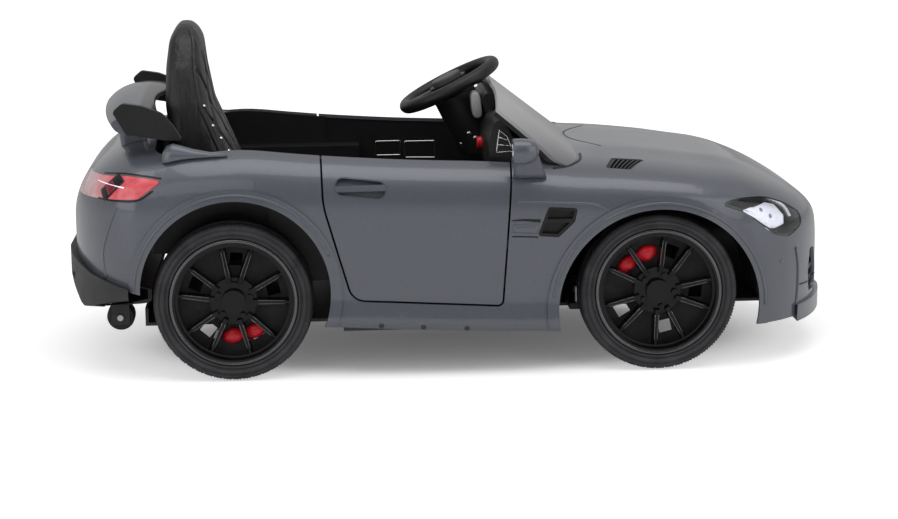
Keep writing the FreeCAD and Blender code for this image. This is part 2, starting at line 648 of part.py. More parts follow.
def make_door():
    """Right-hand door: outer skin with top cap, inner panel and handle cup."""
    edge = DOOR_WIRE.makeOffset2D(-DOOR_GAP)
    skin = right_prism(edge, COCKPIT_HALF_WIDTH).common(body_layer(0.0, BODY_WALL))
    skin = skin.cut(right_prism(oval_wire(HANDLE_LENGTH, HANDLE_HEIGHT), 230.0))
    panel_edge = DOOR_WIRE.makeOffset2D(-DOOR_GAP - DOOR_PANEL_INSET)
    panel = right_prism(panel_edge, DOOR_PANEL_FACE).common(body_form(BODY_WALL + 0.2, 30.0))
    cup_room = right_prism(oval_wire(HANDLE_LENGTH + 2, HANDLE_HEIGHT + 2), DOOR_PANEL_FACE)
    panel = panel.cut(cup_room.cut(body_form(HANDLE_DEPTH + HANDLE_WALL + 0.6, 30.0)))
    slots = []
    for height in HINGE_EAR_HEIGHTS:
        low = height - HINGE_EAR_THICKNESS / 2 - HINGE_EAR_CLEARANCE
        high = height + HINGE_EAR_THICKNESS / 2 + HINGE_EAR_CLEARANCE
        slots.append(box(HINGE_X - 9, HINGE_X + 60, -300, -200, low, high))
    low, high = HINGE_EAR_HEIGHTS[0] - 16, HINGE_EAR_HEIGHTS[1] + 16
    pin_hole = Part.makeCylinder(HINGE_PIN_RADIUS + RUNNING_CLEARANCE, high - low, V(HINGE_X, -HINGE_Y, low))
    swing = Part.makeCylinder(HINGE_Y - TUB_HALF_WIDTH - 1, 400, V(HINGE_X, -HINGE_Y, 0))
    front_corner = box(HINGE_X, HINGE_X + 60, -HINGE_Y + 2, -200, 0, 400).cut(swing)
    panel = panel.cut(slots + [pin_hole, front_corner])
    rim = oval_wire(HANDLE_LENGTH - SEAT_CLEARANCE, HANDLE_HEIGHT - SEAT_CLEARANCE)
    mouth = oval_wire(HANDLE_LENGTH - 2 * HANDLE_WALL, HANDLE_HEIGHT - 2 * HANDLE_WALL)
    cup = layer_piece(right_prism(rim, 230.0), 0.6, HANDLE_DEPTH + HANDLE_WALL)
    cup = cup.cut(layer_piece(right_prism(mouth, 230.0), -2.0, HANDLE_DEPTH))
    half = HANDLE_LENGTH / 2 - 1
    grip_z = HANDLE_CENTRE_Z - HANDLE_GRIP_HEIGHT / 2
    grip_top = grip_z + HANDLE_GRIP_HEIGHT
    grip = box(HANDLE_CENTRE_X - half, HANDLE_CENTRE_X + half, -300, -230, grip_z, grip_top)
    cup = cup.fuse(layer_piece(grip.common(right_prism(rim, 230.0)), 0.6, 4.5)).removeSplitter()
    return skin, largest(panel), cup


def make_headlamp():
    """Right-hand headlamp: clear cover and the lamp unit behind it."""
    lens_edge = HEADLAMP_WIRE.makeOffset2D(-0.4)
    lens = layer_piece(right_prism(lens_edge), LENS_SINK, LAMP_WALL)
    unit = layer_piece(right_prism(lens_edge), LAMP_WALL + 0.2, LAMP_DEPTH)
    bowl = right_prism(HEADLAMP_WIRE.makeOffset2D(-3.0), 140.0, 320.0)
    return lens, unit.cut(layer_piece(bowl, 0.0, LAMP_DEPTH - 6))


def make_tail_lamp():
    edge = TAIL_LAMP_WIRE.makeOffset2D(-0.4)
    return layer_piece(right_prism(edge, TAIL_LAMP_INNER_Y + 0.4), LENS_SINK, LAMP_WALL + 5)


def make_vents():
    """Hood vent and fender vent of the right side, each with slats."""
    hood = layer_piece(hood_vent_prism(0.4), 0.8, BODY_WALL + 4)
    inner_rear, inner_front, outer_front, outer_rear = [V(x, -y, 0) for x, y in HOOD_VENT_OUTLINE]
    for k in range(VENT_SLATS):
        ends = [(k + share) / VENT_SLATS for share in (0.0, 1.0 - VENT_SLAT_SHARE)]
        corners = [inner_rear + (inner_front - inner_rear) * end for end in ends]
        corners += [outer_rear + (outer_front - outer_rear) * end for end in reversed(ends)]
        gap = slab(Part.makePolygon(corners + [corners[0]]), V(0, 0, 200), V(0, 0, 130))
        hood = hood.cut(gap.common(hood_vent_prism(3.0)).cut(body_form(BODY_WALL + 2)))
    edge = FENDER_VENT_WIRE.makeOffset2D(-0.4)
    inner = FENDER_VENT_WIRE.makeOffset2D(-4.0)
    fender = layer_piece(right_prism(edge, 200.0), 0.3, BODY_WALL + 8)
    pocket = right_prism(inner, 200.0).cut(body_form(BODY_WALL + 4))
    blade_z = (FENDER_VENT_OUTLINE[0][1] + FENDER_VENT_OUTLINE[1][1]) / 2
    pocket = pocket.cut(box(50, 250, -310, -200, blade_z - 2, blade_z + 3))
    return hood, fender.cut(pocket)


def make_grilles():
    """Middle grille with upright bars, and the two corner intakes with level bars."""
    back = GRILLE_SETBACK + GRILLE_DEPTH
    middle = front_prism(GRILLE_OUTLINE, 8.0, 440.0, 120.0, GRILLE_FLANGE)
    middle = layer_piece(middle, GRILLE_SETBACK, back)
    half = max(y for y, z in GRILLE_OUTLINE)
    pitch = 2 * half / GRILLE_BARS
    window = front_prism([(y * 0.94, 129 + (z - 129) * 0.88) for y, z in GRILLE_OUTLINE], 8.0, 430.0, 140.0)
    gaps = []
    for k in range(GRILLE_BARS + 1):
        y = -half + (k - 0.5) * pitch + GRILLE_BAR_WIDTH / 2
        gaps.append(box(430, 560, y, y + pitch - GRILLE_BAR_WIDTH, 60, 200).common(window))
    middle = middle.cut([gap for gap in gaps if gap.Solids])
    outline = [(-y, z) for y, z in INTAKE_OUTLINE]
    corner = layer_piece(front_prism(outline, 8.0, 400.0, 140.0, GRILLE_FLANGE), GRILLE_SETBACK, back)
    low = min(z for y, z in INTAKE_OUTLINE)
    high = max(z for y, z in INTAKE_OUTLINE)
    step = (high - low) / INTAKE_BARS
    inner = [(y * 0.96 - 6, 98 + (z - 98) * 0.86) for y, z in outline]
    window = front_prism(inner, 6.0, 390.0, 160.0)
    gaps = []
    for k in range(INTAKE_BARS):
        z = low + (k + 0.3) * step
        gaps.append(box(400, 540, -300, -50, z, z + step * 0.6).common(window))
    return [middle] + pair(corner.cut(gaps))


def make_splitter():
    """Lip around the lower front edge of the nose, with its foot under the body's edge."""
    grown = body_form(-SPLITTER_PROUD, 30.0).cut(body_form(16.0, 60.0))
    body_room = body_form(-SEAT_CLEARANCE).copy()
    body_room.translate(V(0, 0, -SEAT_CLEARANCE))
    low = SPLITTER_TOP - SPLITTER_HEIGHT
    return largest(grown.common(box(SPLITTER_REAR_X, 600, -300, 300, low, SPLITTER_TOP)).cut(body_room))


def make_diffuser():
    """Dark lower rear panel with fins, shaped to the tail in plan."""
    wire = side_wire(DIFFUSER_OUTLINE, DIFFUSER_RADII)
    across, span = V(0, -300, 0), V(0, 600, 0)
    block = slab(wire, across, span).common(body_form(-DIFFUSER_PROUD, 120.0))
    hollow = slab(wire.makeOffset2D(-DIFFUSER_WALL), across, span).common(body_form(3.0, 120.0))
    rear_centre, rear_radius = ARCHES[0]
    lip_room = arch_cylinder(rear_centre, rear_radius + ARCH_LIP_WIDTH + SEAT_CLEARANCE, 190.0, 320.0)
    sweep = Part.makePolygon([V(-600, -y, z) for y, z in DIFFUSER_SIDE_SWEEP + DIFFUSER_SIDE_SWEEP[:1]])
    sweep = Part.Face(sweep).extrude(V(300, 0, 0))
    shell = largest(block.cut([hollow, body_form(-SEAT_CLEARANCE)] + pair(lip_room) + pair(sweep)))
    room = ROLLER_RADIUS + 3.0
    half = ROLLER_WIDTH / 2 + 2.0
    pieces = []
    for y in (-ROLLER_Y, ROLLER_Y):
        shell = shell.cut(box(ROLLER_X - room, ROLLER_X + room, y - half, y + half, 40, ROLLER_Z + room))
        for edge in (y - half - 4, y + half):
            pieces.append(box(ROLLER_X - 12, ROLLER_X + 12, edge, edge + 4, ROLLER_Z - 10, ROLLER_Z + 23))
    fin_wire = side_wire(DIFFUSER_FIN_OUTLINE, [0] * len(DIFFUSER_FIN_OUTLINE))
    for y in DIFFUSER_FINS:
        fin_side = V(0, y - DIFFUSER_FIN_THICKNESS / 2, 0)
        pieces.append(slab(fin_wire, fin_side, V(0, DIFFUSER_FIN_THICKNESS, 0)))
    shape = fuse_all([shell] + pieces)
    axle_room = ROLLER_AXLE_RADIUS + RUNNING_CLEARANCE
    return shape.cut(rod(V(ROLLER_X, -300, ROLLER_Z), V(ROLLER_X, 300, ROLLER_Z), axle_room))


def make_rollers():
    rollers = []
    for y in (-ROLLER_Y, ROLLER_Y):
        low = V(ROLLER_X, y - ROLLER_WIDTH / 2, ROLLER_Z)
        wheel = Part.makeCylinder(ROLLER_RADIUS, ROLLER_WIDTH, low, V(0, 1, 0))
        wheel = wheel.makeFillet(3.0, [edge for edge in wheel.Edges if len(edge.Vertexes) == 1])
        bore = Part.makeCylinder(ROLLER_AXLE_RADIUS + PRESS_CLEARANCE, ROLLER_WIDTH, low, V(0, 1, 0))
        rollers.append(wheel.cut(bore))
    reach = ROLLER_Y + ROLLER_WIDTH / 2 + 10
    axle = rod(V(ROLLER_X, -reach, ROLLER_Z), V(ROLLER_X, reach, ROLLER_Z), ROLLER_AXLE_RADIUS)
    return rollers, axle


def pedestal_wire(rear, front, half, height):
    """Level section of the wing pedestal."""
    corners = [V(rear, -half, height), V(front, -half, height), V(front, half, height), V(rear, half, height)]
    return even_wire(corners, 8.0)


def make_wing():
    """Wing blade, its two end arms and the pedestal on the rear deck."""
    wires = []
    for share in WING_STATIONS:
        bow, y = WING_BOW * share * share, WING_HALF_SPAN * share
        crown = WING_CROWN + (WING_END_CROWN - WING_CROWN) * share * share
        points = [V(x + bow, y, WING_BASE_Z + (z - WING_BASE_Z) * crown) for x, z in WING_SECTION]
        curve = Part.BSplineCurve()
        curve.interpolate(points, PeriodicFlag=True)
        wires.append(Part.Wire([curve.toShape()]))
    blade = Part.makeLoft(wires, True, False)
    arm_wire = side_wire(WING_END_OUTLINE, WING_END_RADII)
    arm = slab(arm_wire, V(0, -WING_HALF_SPAN - WING_END_THICKNESS, 0), V(0, WING_END_THICKNESS, 0))
    arm = arm.cut(body_form(-SEAT_CLEARANCE))
    foot = pedestal_wire(-438, -404, WING_PEDESTAL_HALF_WIDTH, 280)
    head = pedestal_wire(-446, -408, WING_PEDESTAL_HALF_WIDTH + 8, 334)
    pedestal = Part.makeLoft([foot, head], True, True).cut(body_form(-SEAT_CLEARANCE))
    return blade, pair(arm), largest(pedestal.cut(blade))


def top_height(x, y):
    """Height of the body surface above a point of the plan."""
    waist, top, half = smooth(WAIST_CURVE, x), smooth(TOP_CURVE, x), smooth(HALF_WIDTH_CURVE, x)
    share = (1 - (abs(y) / half) ** SHOULDER_POWER) ** (1 / SHOULDER_POWER)
    return waist + (top - waist) * share + hood_ridge(x, y)


def screen_layer(front, back):
    """Layer of the windscreen between two distances behind its outer face."""
    wires = []
    for side in (-1, 1):
        for y, base_x, top_x, top_z in (reversed(SCREEN_SECTIONS) if side < 0 else SCREEN_SECTIONS[1:]):
            base = V(base_x, side * y, top_height(base_x, y) + SEAT_CLEARANCE)
            top = V(top_x, side * y, top_z)
            along = (top - base).normalize()
            behind = V(-along.z, 0, along.x)
            corners = [base + behind * front, top + behind * front, top + behind * back, base + behind * back]
            wires.append(Part.makePolygon(corners + [corners[0]]))
    return Part.makeLoft(wires, True, False)


def screen_outline(inset):
    points = [(-SCREEN_BASE_HALF_WIDTH, 262), (SCREEN_BASE_HALF_WIDTH, 262), (SCREEN_TOP_HALF_WIDTH, 380),
              (-SCREEN_TOP_HALF_WIDTH, 380)]
    return front_prism([(y - math.copysign(inset, y), z) for y, z in points], 20.0, -20.0, 260.0)


def make_windscreen():
    """Curved screen, and its frame along the base and both sides."""
    deck = body_form(-0.2)
    glass = screen_layer(0.0, SCREEN_THICKNESS).common(screen_outline(0.0)).cut(deck)
    start = SCREEN_THICKNESS + 0.2
    frame = screen_layer(start, start + SCREEN_FRAME_THICKNESS).common(screen_outline(0.0)).cut(deck)
    window = screen_layer(start - 1, start + SCREEN_FRAME_THICKNESS + 1)
    window = window.common(screen_outline(SCREEN_FRAME_WIDTH))
    y, base_x, top_x, top_z = SCREEN_SECTIONS[0]
    rise = V(top_x - base_x, 0, top_z - top_height(base_x, y)).normalize()
    window.translate(rise * SCREEN_FRAME_WIDTH)
    return glass, largest(frame.cut(window))


def make_dashboard():
    dash = slab(side_wire(DASH_OUTLINE, DASH_RADII), V(0, -DASH_HALF_WIDTH, 0), V(0, 2 * DASH_HALF_WIDTH, 0))
    hood_wire = side_wire(DASH_HOOD_OUTLINE, [2, 6, 5, 5, 2])
    hood = slab(hood_wire, V(0, -DASH_HOOD_HALF_WIDTH, 0), V(0, 2 * DASH_HOOD_HALF_WIDTH, 0))
    dash = fuse_all([dash, hood])
    shaft_end = STEERING_CENTRE - STEERING_AXIS * SHAFT_LENGTH
    column_hole = rod(STEERING_CENTRE, shaft_end, COLUMN_RADIUS + SEAT_CLEARANCE)
    button_end = BUTTON_CENTRE + V(BUTTON_DEPTH + BUTTON_TRAVEL + 1, 0, 0)
    button_hole = rod(BUTTON_CENTRE - V(BUTTON_PROUD, 0, 0), button_end, BUTTON_RADIUS + CONTROL_CLEARANCE)
    switch_hole = switch_barrel(SWITCH_RADIUS, SWITCH_WIDTH / 2, CONTROL_CLEARANCE)
    pin_hole = switch_barrel(SWITCH_PIN_RADIUS, SWITCH_WIDTH / 2 + SWITCH_PIN_REACH, RUNNING_CLEARANCE)
    return dash.cut([column_hole, button_hole, switch_hole, pin_hole])


def switch_barrel(radius, half_width, grow):
    """Level cylinder about the direction switch's pivot."""
    reach = V(0, half_width + grow, 0)
    return rod(SWITCH_CENTRE - reach, SWITCH_CENTRE + reach, radius + grow)


def make_switch():
    """Rocker with two slanting faces that meet in a ridge, on its pivot pin."""
    x, z = SWITCH_CENTRE.x, SWITCH_CENTRE.z
    ridge = V(x - SWITCH_RIDGE, 0, z)
    reach = SWITCH_RADIUS + 4
    wire = Part.makePolygon([ridge, V(x - 4, 0, z + reach), V(x + reach, 0, z + reach),
                             V(x + reach, 0, z - reach), V(x - 4, 0, z - reach), ridge])
    wedge = slab(Part.Wire(wire), V(0, SWITCH_CENTRE.y - SWITCH_WIDTH, 0), V(0, 2 * SWITCH_WIDTH, 0))
    rocker = switch_barrel(SWITCH_RADIUS, SWITCH_WIDTH / 2, 0.0).common(wedge)
    return fuse_all([rocker, switch_barrel(SWITCH_PIN_RADIUS, SWITCH_WIDTH / 2 + SWITCH_PIN_REACH, 0.0)])


def make_button():
    button = rod(BUTTON_CENTRE - V(BUTTON_PROUD, 0, 0), BUTTON_CENTRE + V(BUTTON_DEPTH, 0, 0), BUTTON_RADIUS)
    rim = [edge for edge in button.Edges if len(edge.Vertexes) == 1 and edge.BoundBox.XMax < BUTTON_CENTRE.x]
    return button.makeFillet(1.5, rim)


def make_pedal():
    """Accelerator plate with ribs, tilted up towards the front, on its pivot."""
    length, width, thickness = PEDAL_SIZE.x, PEDAL_SIZE.y, PEDAL_SIZE.z
    half = width / 2
    parts = [box(0, length, -half, half, -thickness / 2, thickness / 2),
             rod(V(0, -half, 0), V(0, half, 0), PEDAL_BOSS_RADIUS)]
    for share in (0.3, 0.45, 0.6, 0.75, 0.9):
        parts.append(box(share * length - 2, share * length + 2, -half + 5, half - 5, 0, thickness / 2 + 2))
    pedal = fuse_all(parts).cut(rod(V(0, -width, 0), V(0, width, 0), PEDAL_PIN_RADIUS + RUNNING_CLEARANCE))
    pedal.rotate(V(0, 0, 0), V(0, 1, 0), -PEDAL_SLOPE)
    pedal.translate(PEDAL_PIVOT)
    return pedal


def pedal_bearing():
    """Two ears on the cockpit floor with the pedal's pin between them."""
    inner = PEDAL_SIZE.y / 2 + PEDAL_EAR_GAP
    outer = inner + PEDAL_EAR_THICKNESS
    x, y, z = PEDAL_PIVOT
    parts = [rod(V(x, y - outer, z), V(x, y + outer, z), PEDAL_PIN_RADIUS)]
    for y0, y1 in ((y - outer, y - inner), (y + inner, y + outer)):
        parts.append(box(x - 7, x + 7, y0, y1, TUB_FLOOR_Z + 1, z))
        parts.append(rod(V(x, y0, z), V(x, y1, z), 7.0))
    return fuse_all(parts)


def make_battery():
    half = BATTERY_SIZE.y / 2
    front, top = BATTERY_REAR_X + BATTERY_SIZE.x, PAN_TOP + BATTERY_SIZE.z
    case = box(BATTERY_REAR_X, front, -half, half, PAN_TOP, top)
    case = case.makeFillet(3.0, [edge for edge in case.Edges if edge.BoundBox.ZLength > 10])
    posts = []
    for y in (-half + 20, half - 20):
        foot = V(BATTERY_REAR_X + 20, y, top - 1)
        posts.append(Part.makeCylinder(BATTERY_POST_RADIUS, BATTERY_POST_HEIGHT + 1, foot))
    return fuse_all([case] + posts)


def make_control_box():
    """Flat electronics box with cooling ribs on its lid."""
    rear, front = CONTROL_BOX_REAR_X, CONTROL_BOX_REAR_X + CONTROL_BOX_SIZE.x
    half, top = CONTROL_BOX_SIZE.y / 2, PAN_TOP + CONTROL_BOX_SIZE.z
    parts = [box(rear, front, -half, half, PAN_TOP, top)]
    for k in range(CONTROL_BOX_RIBS):
        y = -half + (k + 0.5) * CONTROL_BOX_SIZE.y / CONTROL_BOX_RIBS
        parts.append(box(rear + 6, front - 6, y - 2, y + 2, PAN_TOP, top + 4))
    return fuse_all(parts)


def make_socket():
    """Charging socket in the seat floor beside the cushion, opening upwards."""
    up = V(0, 0, 1)
    body = rod(SOCKET_CENTRE - up * SOCKET_DEPTH, SOCKET_CENTRE, SOCKET_RADIUS - SEAT_CLEARANCE)
    flange = rod(SOCKET_CENTRE, SOCKET_CENTRE + up * 3, SOCKET_FLANGE_RADIUS)
    inlet = rod(SOCKET_CENTRE - up * (SOCKET_DEPTH - 6), SOCKET_CENTRE + up * 5, SOCKET_INLET_RADIUS)
    return fuse_all([body, flange]).cut(inlet)


def along_shaft(distance, radius, length):
    """Cylinder about the steering axis, starting below the steering wheel's centre."""
    return Part.makeCylinder(radius, length, STEERING_CENTRE - STEERING_AXIS * distance, STEERING_AXIS * -1)


def tilt_to_steering(shape):
    """Place a shape modelled about the vertical axis on the steering axis."""
    shape.rotate(V(0, 0, 0), V(0, 1, 0), -STEERING_TILT)
    shape.translate(STEERING_CENTRE)
    return shape


def make_steering():
    """Steering wheel, horn pad, shaft with crank, and the fixed column sleeve."""
    ring = Part.makeTorus(STEERING_RIM_RADIUS, STEERING_GRIP_RADIUS)
    hub = Part.makeCylinder(STEERING_HUB_RADIUS, 20, V(0, 0, -14))
    spokes = []
    for turn in (0, 90, 270):
        spoke = box(0, STEERING_RIM_RADIUS, -10, 10, -6, 4)
        spoke.rotate(V(0, 0, 0), V(0, 0, 1), turn + 180)
        spokes.append(spoke)
    wheel = fuse_all([ring, hub] + spokes)
    wheel = wheel.cut(Part.makeCylinder(STEERING_HUB_RADIUS - 5, 10, V(0, 0, 1)))
    wheel = wheel.cut(Part.makeCylinder(SHAFT_RADIUS + PRESS_CLEARANCE, 40, V(0, 0, -30)))
    pad = Part.makeCylinder(STEERING_HUB_RADIUS - 5.5, 10, V(0, 0, 3.5))
    rim = [edge for edge in pad.Edges if len(edge.Vertexes) == 1 and edge.BoundBox.ZMin > 10]
    pad = pad.makeFillet(3.0, rim)
    shaft = along_shaft(0.0, SHAFT_RADIUS, SHAFT_LENGTH)
    low = -CRANK_THICKNESS / 2
    tip = V(-CRANK_LENGTH, 0, 0)
    arm = fuse_all([Part.makeCylinder(11, CRANK_THICKNESS, V(0, 0, low)),
                    box(-CRANK_LENGTH, 0, -6, 6, low, -low),
                    Part.makeCylinder(7, CRANK_THICKNESS, tip + V(0, 0, low)),
                    Part.makeCylinder(CRANK_PIN_RADIUS, CRANK_PIN_LENGTH, tip - V(0, 0, CRANK_PIN_LENGTH))])
    arm.rotate(V(0, 0, 0), V(0, 1, 0), -STEERING_TILT)
    arm.translate(STEERING_CENTRE - STEERING_AXIS * CRANK_ALONG)
    column = along_shaft(COLUMN_START, COLUMN_RADIUS, COLUMN_END - COLUMN_START)
    column = column.cut(along_shaft(0.0, SHAFT_RADIUS + RUNNING_CLEARANCE, SHAFT_LENGTH))
    return tilt_to_steering(wheel), tilt_to_steering(pad), fuse_all([shaft, arm]), column


def crank_tip():
    hub = STEERING_CENTRE - STEERING_AXIS * CRANK_ALONG
    return hub + V(-STEERING_AXIS.z, 0, STEERING_AXIS.x) * CRANK_LENGTH


def slot(x0, x1, y, half_width, z0, z1):
    """Upright slot cutter with round ends along X."""
    return fuse_all([box(x0, x1, y - half_width, y + half_width, z0, z1),
                     Part.makeCylinder(half_width, z1 - z0, V(x0, y, z0)),
                     Part.makeCylinder(half_width, z1 - z0, V(x1, y, z0))])


def make_tie_rod():
    rod_x = FRONT_AXLE_X - KNUCKLE_ARM
    low, high = TIE_ROD_Z, TIE_ROD_Z + TIE_ROD_THICKNESS
    half = TIE_ROD_WIDTH / 2
    bar = box(rod_x - half, rod_x + half, -KING_PIN_Y - half, KING_PIN_Y + half, low, high)
    tip = crank_tip()
    tongue = box(tip.x - 12, rod_x, -half - 4, half + 4, low, high)
    plate = fuse_all([bar, tongue])
    play = CRANK_PIN_RADIUS + TIE_ROD_SLOT_PLAY
    for side in (-1, 1):
        plate = plate.cut(slot(rod_x, rod_x + 5, side * KING_PIN_Y, play, low - 1, high + 1))
    return plate.cut(slot(tip.x + 3, tip.x + 18, 0, play, low - 1, high + 1))


def make_axle_beam():
    """Front cross beam with a fork for each king pin."""
    x, half = FRONT_AXLE_X, KING_PIN_Y - 24
    upper = AXLE_Z + KNUCKLE_HALF_HEIGHT + SEAT_CLEARANCE
    lower = AXLE_Z - KNUCKLE_HALF_HEIGHT - SEAT_CLEARANCE - FORK_THICKNESS
    parts = [box(x - 16, x + 16, -half, half, PAN_TOP, AXLE_Z + 22)]
    for low in (upper, lower):
        pin = V(x, -KING_PIN_Y, low)
        fork = box(x - 13, x + 13, -KING_PIN_Y, -half + 2, low, low + FORK_THICKNESS)
        fork = fork.fuse(Part.makeCylinder(KNUCKLE_RADIUS, FORK_THICKNESS, pin))
        bore = Part.makeCylinder(KING_PIN_RADIUS + RUNNING_CLEARANCE, FORK_THICKNESS, pin)
        parts += pair(fork.cut(bore))
    return fuse_all(parts)


def make_knuckle():
    """Right-hand steering knuckle: king pin, stub axle and steering arm."""
    centre = V(FRONT_AXLE_X, -KING_PIN_Y, AXLE_Z)
    arm_low, arm_high = AXLE_Z - KNUCKLE_HALF_HEIGHT, AXLE_Z - KNUCKLE_HALF_HEIGHT + 8
    arm_end = FRONT_AXLE_X - KNUCKLE_ARM
    foot = V(arm_end, -KING_PIN_Y, TIE_ROD_Z)
    block_foot = centre - V(0, 0, KNUCKLE_HALF_HEIGHT)
    return fuse_all([Part.makeCylinder(KNUCKLE_RADIUS, 2 * KNUCKLE_HALF_HEIGHT, block_foot),
                     Part.makeCylinder(KING_PIN_RADIUS, 50, centre - V(0, 0, 25)),
                     rod(centre, V(FRONT_AXLE_X, -TRACK_HALF - 8, AXLE_Z), AXLE_RADIUS),
                     box(arm_end, FRONT_AXLE_X, -KING_PIN_Y - 6, -KING_PIN_Y + 6, arm_low, arm_high),
                     Part.makeCylinder(6, 8, V(arm_end, -KING_PIN_Y, arm_low)),
                     Part.makeCylinder(CRANK_PIN_RADIUS, arm_low - TIE_ROD_Z, foot)])


def make_tyre():
    """Right-hand tyre about the origin, outer side towards -Y."""
    half = TYRE_WIDTH / 2
    outer, bore = TYRE_RADIUS, TYRE_BORE_RADIUS
    corners = [V(bore, half - 4, 0), V(bore + 6, half, 0), V(outer - 8, half, 0), V(outer, half - 9, 0)]
    corners = corners + [V(corner.x, -corner.y, 0) for corner in reversed(corners)]
    wire = rounded_wire(corners, [1, 4, 6, 7, 7, 6, 4, 1])
    tyre = Part.Face(wire).revolve(V(0, 0, 0), V(0, 1, 0), 360)
    for y in (-8.0, 8.0):
        groove = Part.makeCylinder(outer + 5, 3, V(0, y - 1.5, 0), V(0, 1, 0))
        tyre = tyre.cut(groove.cut(Part.makeCylinder(outer - 3, 3, V(0, y - 1.5, 0), V(0, 1, 0))))
    return tyre


def spoke(angle):
    """One slim spoke from the hub to the rim, outer side towards -Y."""
    inner, outer = RIM_HUB_RADIUS - 6, TYRE_BORE_RADIUS - RIM_WALL + 2
    wires = []
    for radius, half, front, back in ((inner, 2.8, -20.0, -7.0), (outer, 2.2, -16.0, -5.0)):
        corners = [V(radius, front, -half), V(radius, front, half), V(radius, back, half + 2),
                   V(radius, back, -half - 2)]
        wires.append(Part.makePolygon(corners + [corners[0]]))
    shape = Part.makeLoft(wires, True, True)
    shape.rotate(V(0, 0, 0), V(0, 1, 0), -angle)
    return shape


def make_rim():
    """Right-hand rim with paired spokes, brake plate, hub and cap."""
    half = TYRE_WIDTH / 2
    outer = TYRE_BORE_RADIUS - 0.1
    barrel = Part.makeCylinder(outer, 2 * half - 6, V(0, -half + 3, 0), V(0, 1, 0))
    barrel = barrel.cut(Part.makeCylinder(outer - RIM_WALL, 2 * half, V(0, -half, 0), V(0, 1, 0)))
    step = Part.makeCylinder(outer - RIM_WALL + 1, 5, V(0, -17, 0), V(0, 1, 0))
    step = step.cut(Part.makeCylinder(outer - RIM_WALL - RIM_STEP, 6, V(0, -17.5, 0), V(0, 1, 0)))
    plate = Part.makeCylinder(outer - RIM_WALL + 1, 4, V(0, BRAKE_PLATE_SETBACK, 0), V(0, 1, 0))
    reach, half_window = BRAKE_WINDOW_RADIUS, BRAKE_WINDOW_SIZE / 2
    for k in range(SPOKE_PAIRS):
        window = box(reach - half_window, reach + half_window, 0, 20, -half_window, half_window)
        window.rotate(V(0, 0, 0), V(0, 1, 0), -k * 360 / SPOKE_PAIRS)
        plate = plate.cut(window)
    hub = Part.makeCylinder(RIM_HUB_RADIUS, BRAKE_PLATE_SETBACK + 12, V(0, -12, 0), V(0, 1, 0))
    boss = Part.makeCylinder(RIM_HUB_RADIUS - 8, half + 4, V(0, -12, 0), V(0, 1, 0))
    cap = Part.makeCylinder(RIM_CAP_RADIUS, 20, V(0, -22, 0), V(0, 1, 0))
    parts = [barrel, step, plate, hub, boss, cap]
    for k in range(SPOKE_PAIRS):
        turn = k * 360 / SPOKE_PAIRS
        nut = Part.makeCylinder(3.6, 8, V(RIM_HUB_RADIUS - 9, -17, 0), V(0, 1, 0))
        nut.rotate(V(0, 0, 0), V(0, 1, 0), -turn)
        parts += [nut, spoke(turn + SPOKE_PAIR_HALF_ANGLE), spoke(turn - SPOKE_PAIR_HALF_ANGLE)]
    rim = fuse_all(parts)
    return rim.cut(Part.makeCylinder(AXLE_RADIUS + RUNNING_CLEARANCE, half + 30, V(0, -9, 0), V(0, 1, 0)))


def make_caliper():
    """Dummy brake caliper seated on the brake plate, turning with the rim."""
    low, thickness = V(0, -3.5, 0), BRAKE_PLATE_SETBACK + 3.5
    band = Part.makeCylinder(CALIPER_OUTER_RADIUS, thickness, low, V(0, 1, 0))
    band = band.cut(Part.makeCylinder(CALIPER_INNER_RADIUS, thickness, low, V(0, 1, 0)))
    reach = 100.0
    spread = math.radians(CALIPER_HALF_ANGLE)
    x, z = reach * math.cos(spread), reach * math.sin(spread)
    wedge = Part.makePolygon([V(0, -4, 0), V(x, -4, z), V(reach, -4, 0), V(x, -4, -z), V(0, -4, 0)])
    caliper = band.common(Part.Face(wedge).extrude(V(0, 12, 0)))
    caliper = caliper.cut(box(CALIPER_INNER_RADIUS - 6, CALIPER_INNER_RADIUS + 7, -4, 4, -7, 7))
    caliper.rotate(V(0, 0, 0), V(0, 1, 0), -CALIPER_LAG)
    return caliper


def place_wheel(shape, axle_x, phase, left):
    placed = shape.copy()
    placed.rotate(V(0, 0, 0), V(0, 1, 0), -phase)
    placed.translate(V(axle_x, -TRACK_HALF, AXLE_Z))
    return mirrored(placed) if left else placed


def make_drive():
    """Gear boxes with their motors, and the fixed rear axle."""
    x, reach = REAR_AXLE_X, TRACK_HALF + 8
    axle = rod(V(x, -reach, AXLE_Z), V(x, reach, AXLE_Z), AXLE_RADIUS)
    wire = side_wire([(x - 42, PAN_TOP), (x + 58, PAN_TOP), (x + 58, AXLE_Z + 32), (x + 20, AXLE_Z + 46),
                      (x - 42, AXLE_Z + 40)], [6, 6, 20, 24, 24])
    casing = slab(wire, V(0, -GEAR_BOX_OUTER_Y, 0), V(0, GEAR_BOX_WIDTH, 0))
    bore = rod(V(x, -reach, AXLE_Z), V(x, 0, AXLE_Z), AXLE_RADIUS + PRESS_CLEARANCE)
    motor_start = V(x + 36, -GEAR_BOX_OUTER_Y + GEAR_BOX_WIDTH, AXLE_Z + 6)
    motor = rod(motor_start, motor_start + V(0, MOTOR_LENGTH, 0), MOTOR_RADIUS)
    return pair(casing.cut(bore)) + pair(motor), axle


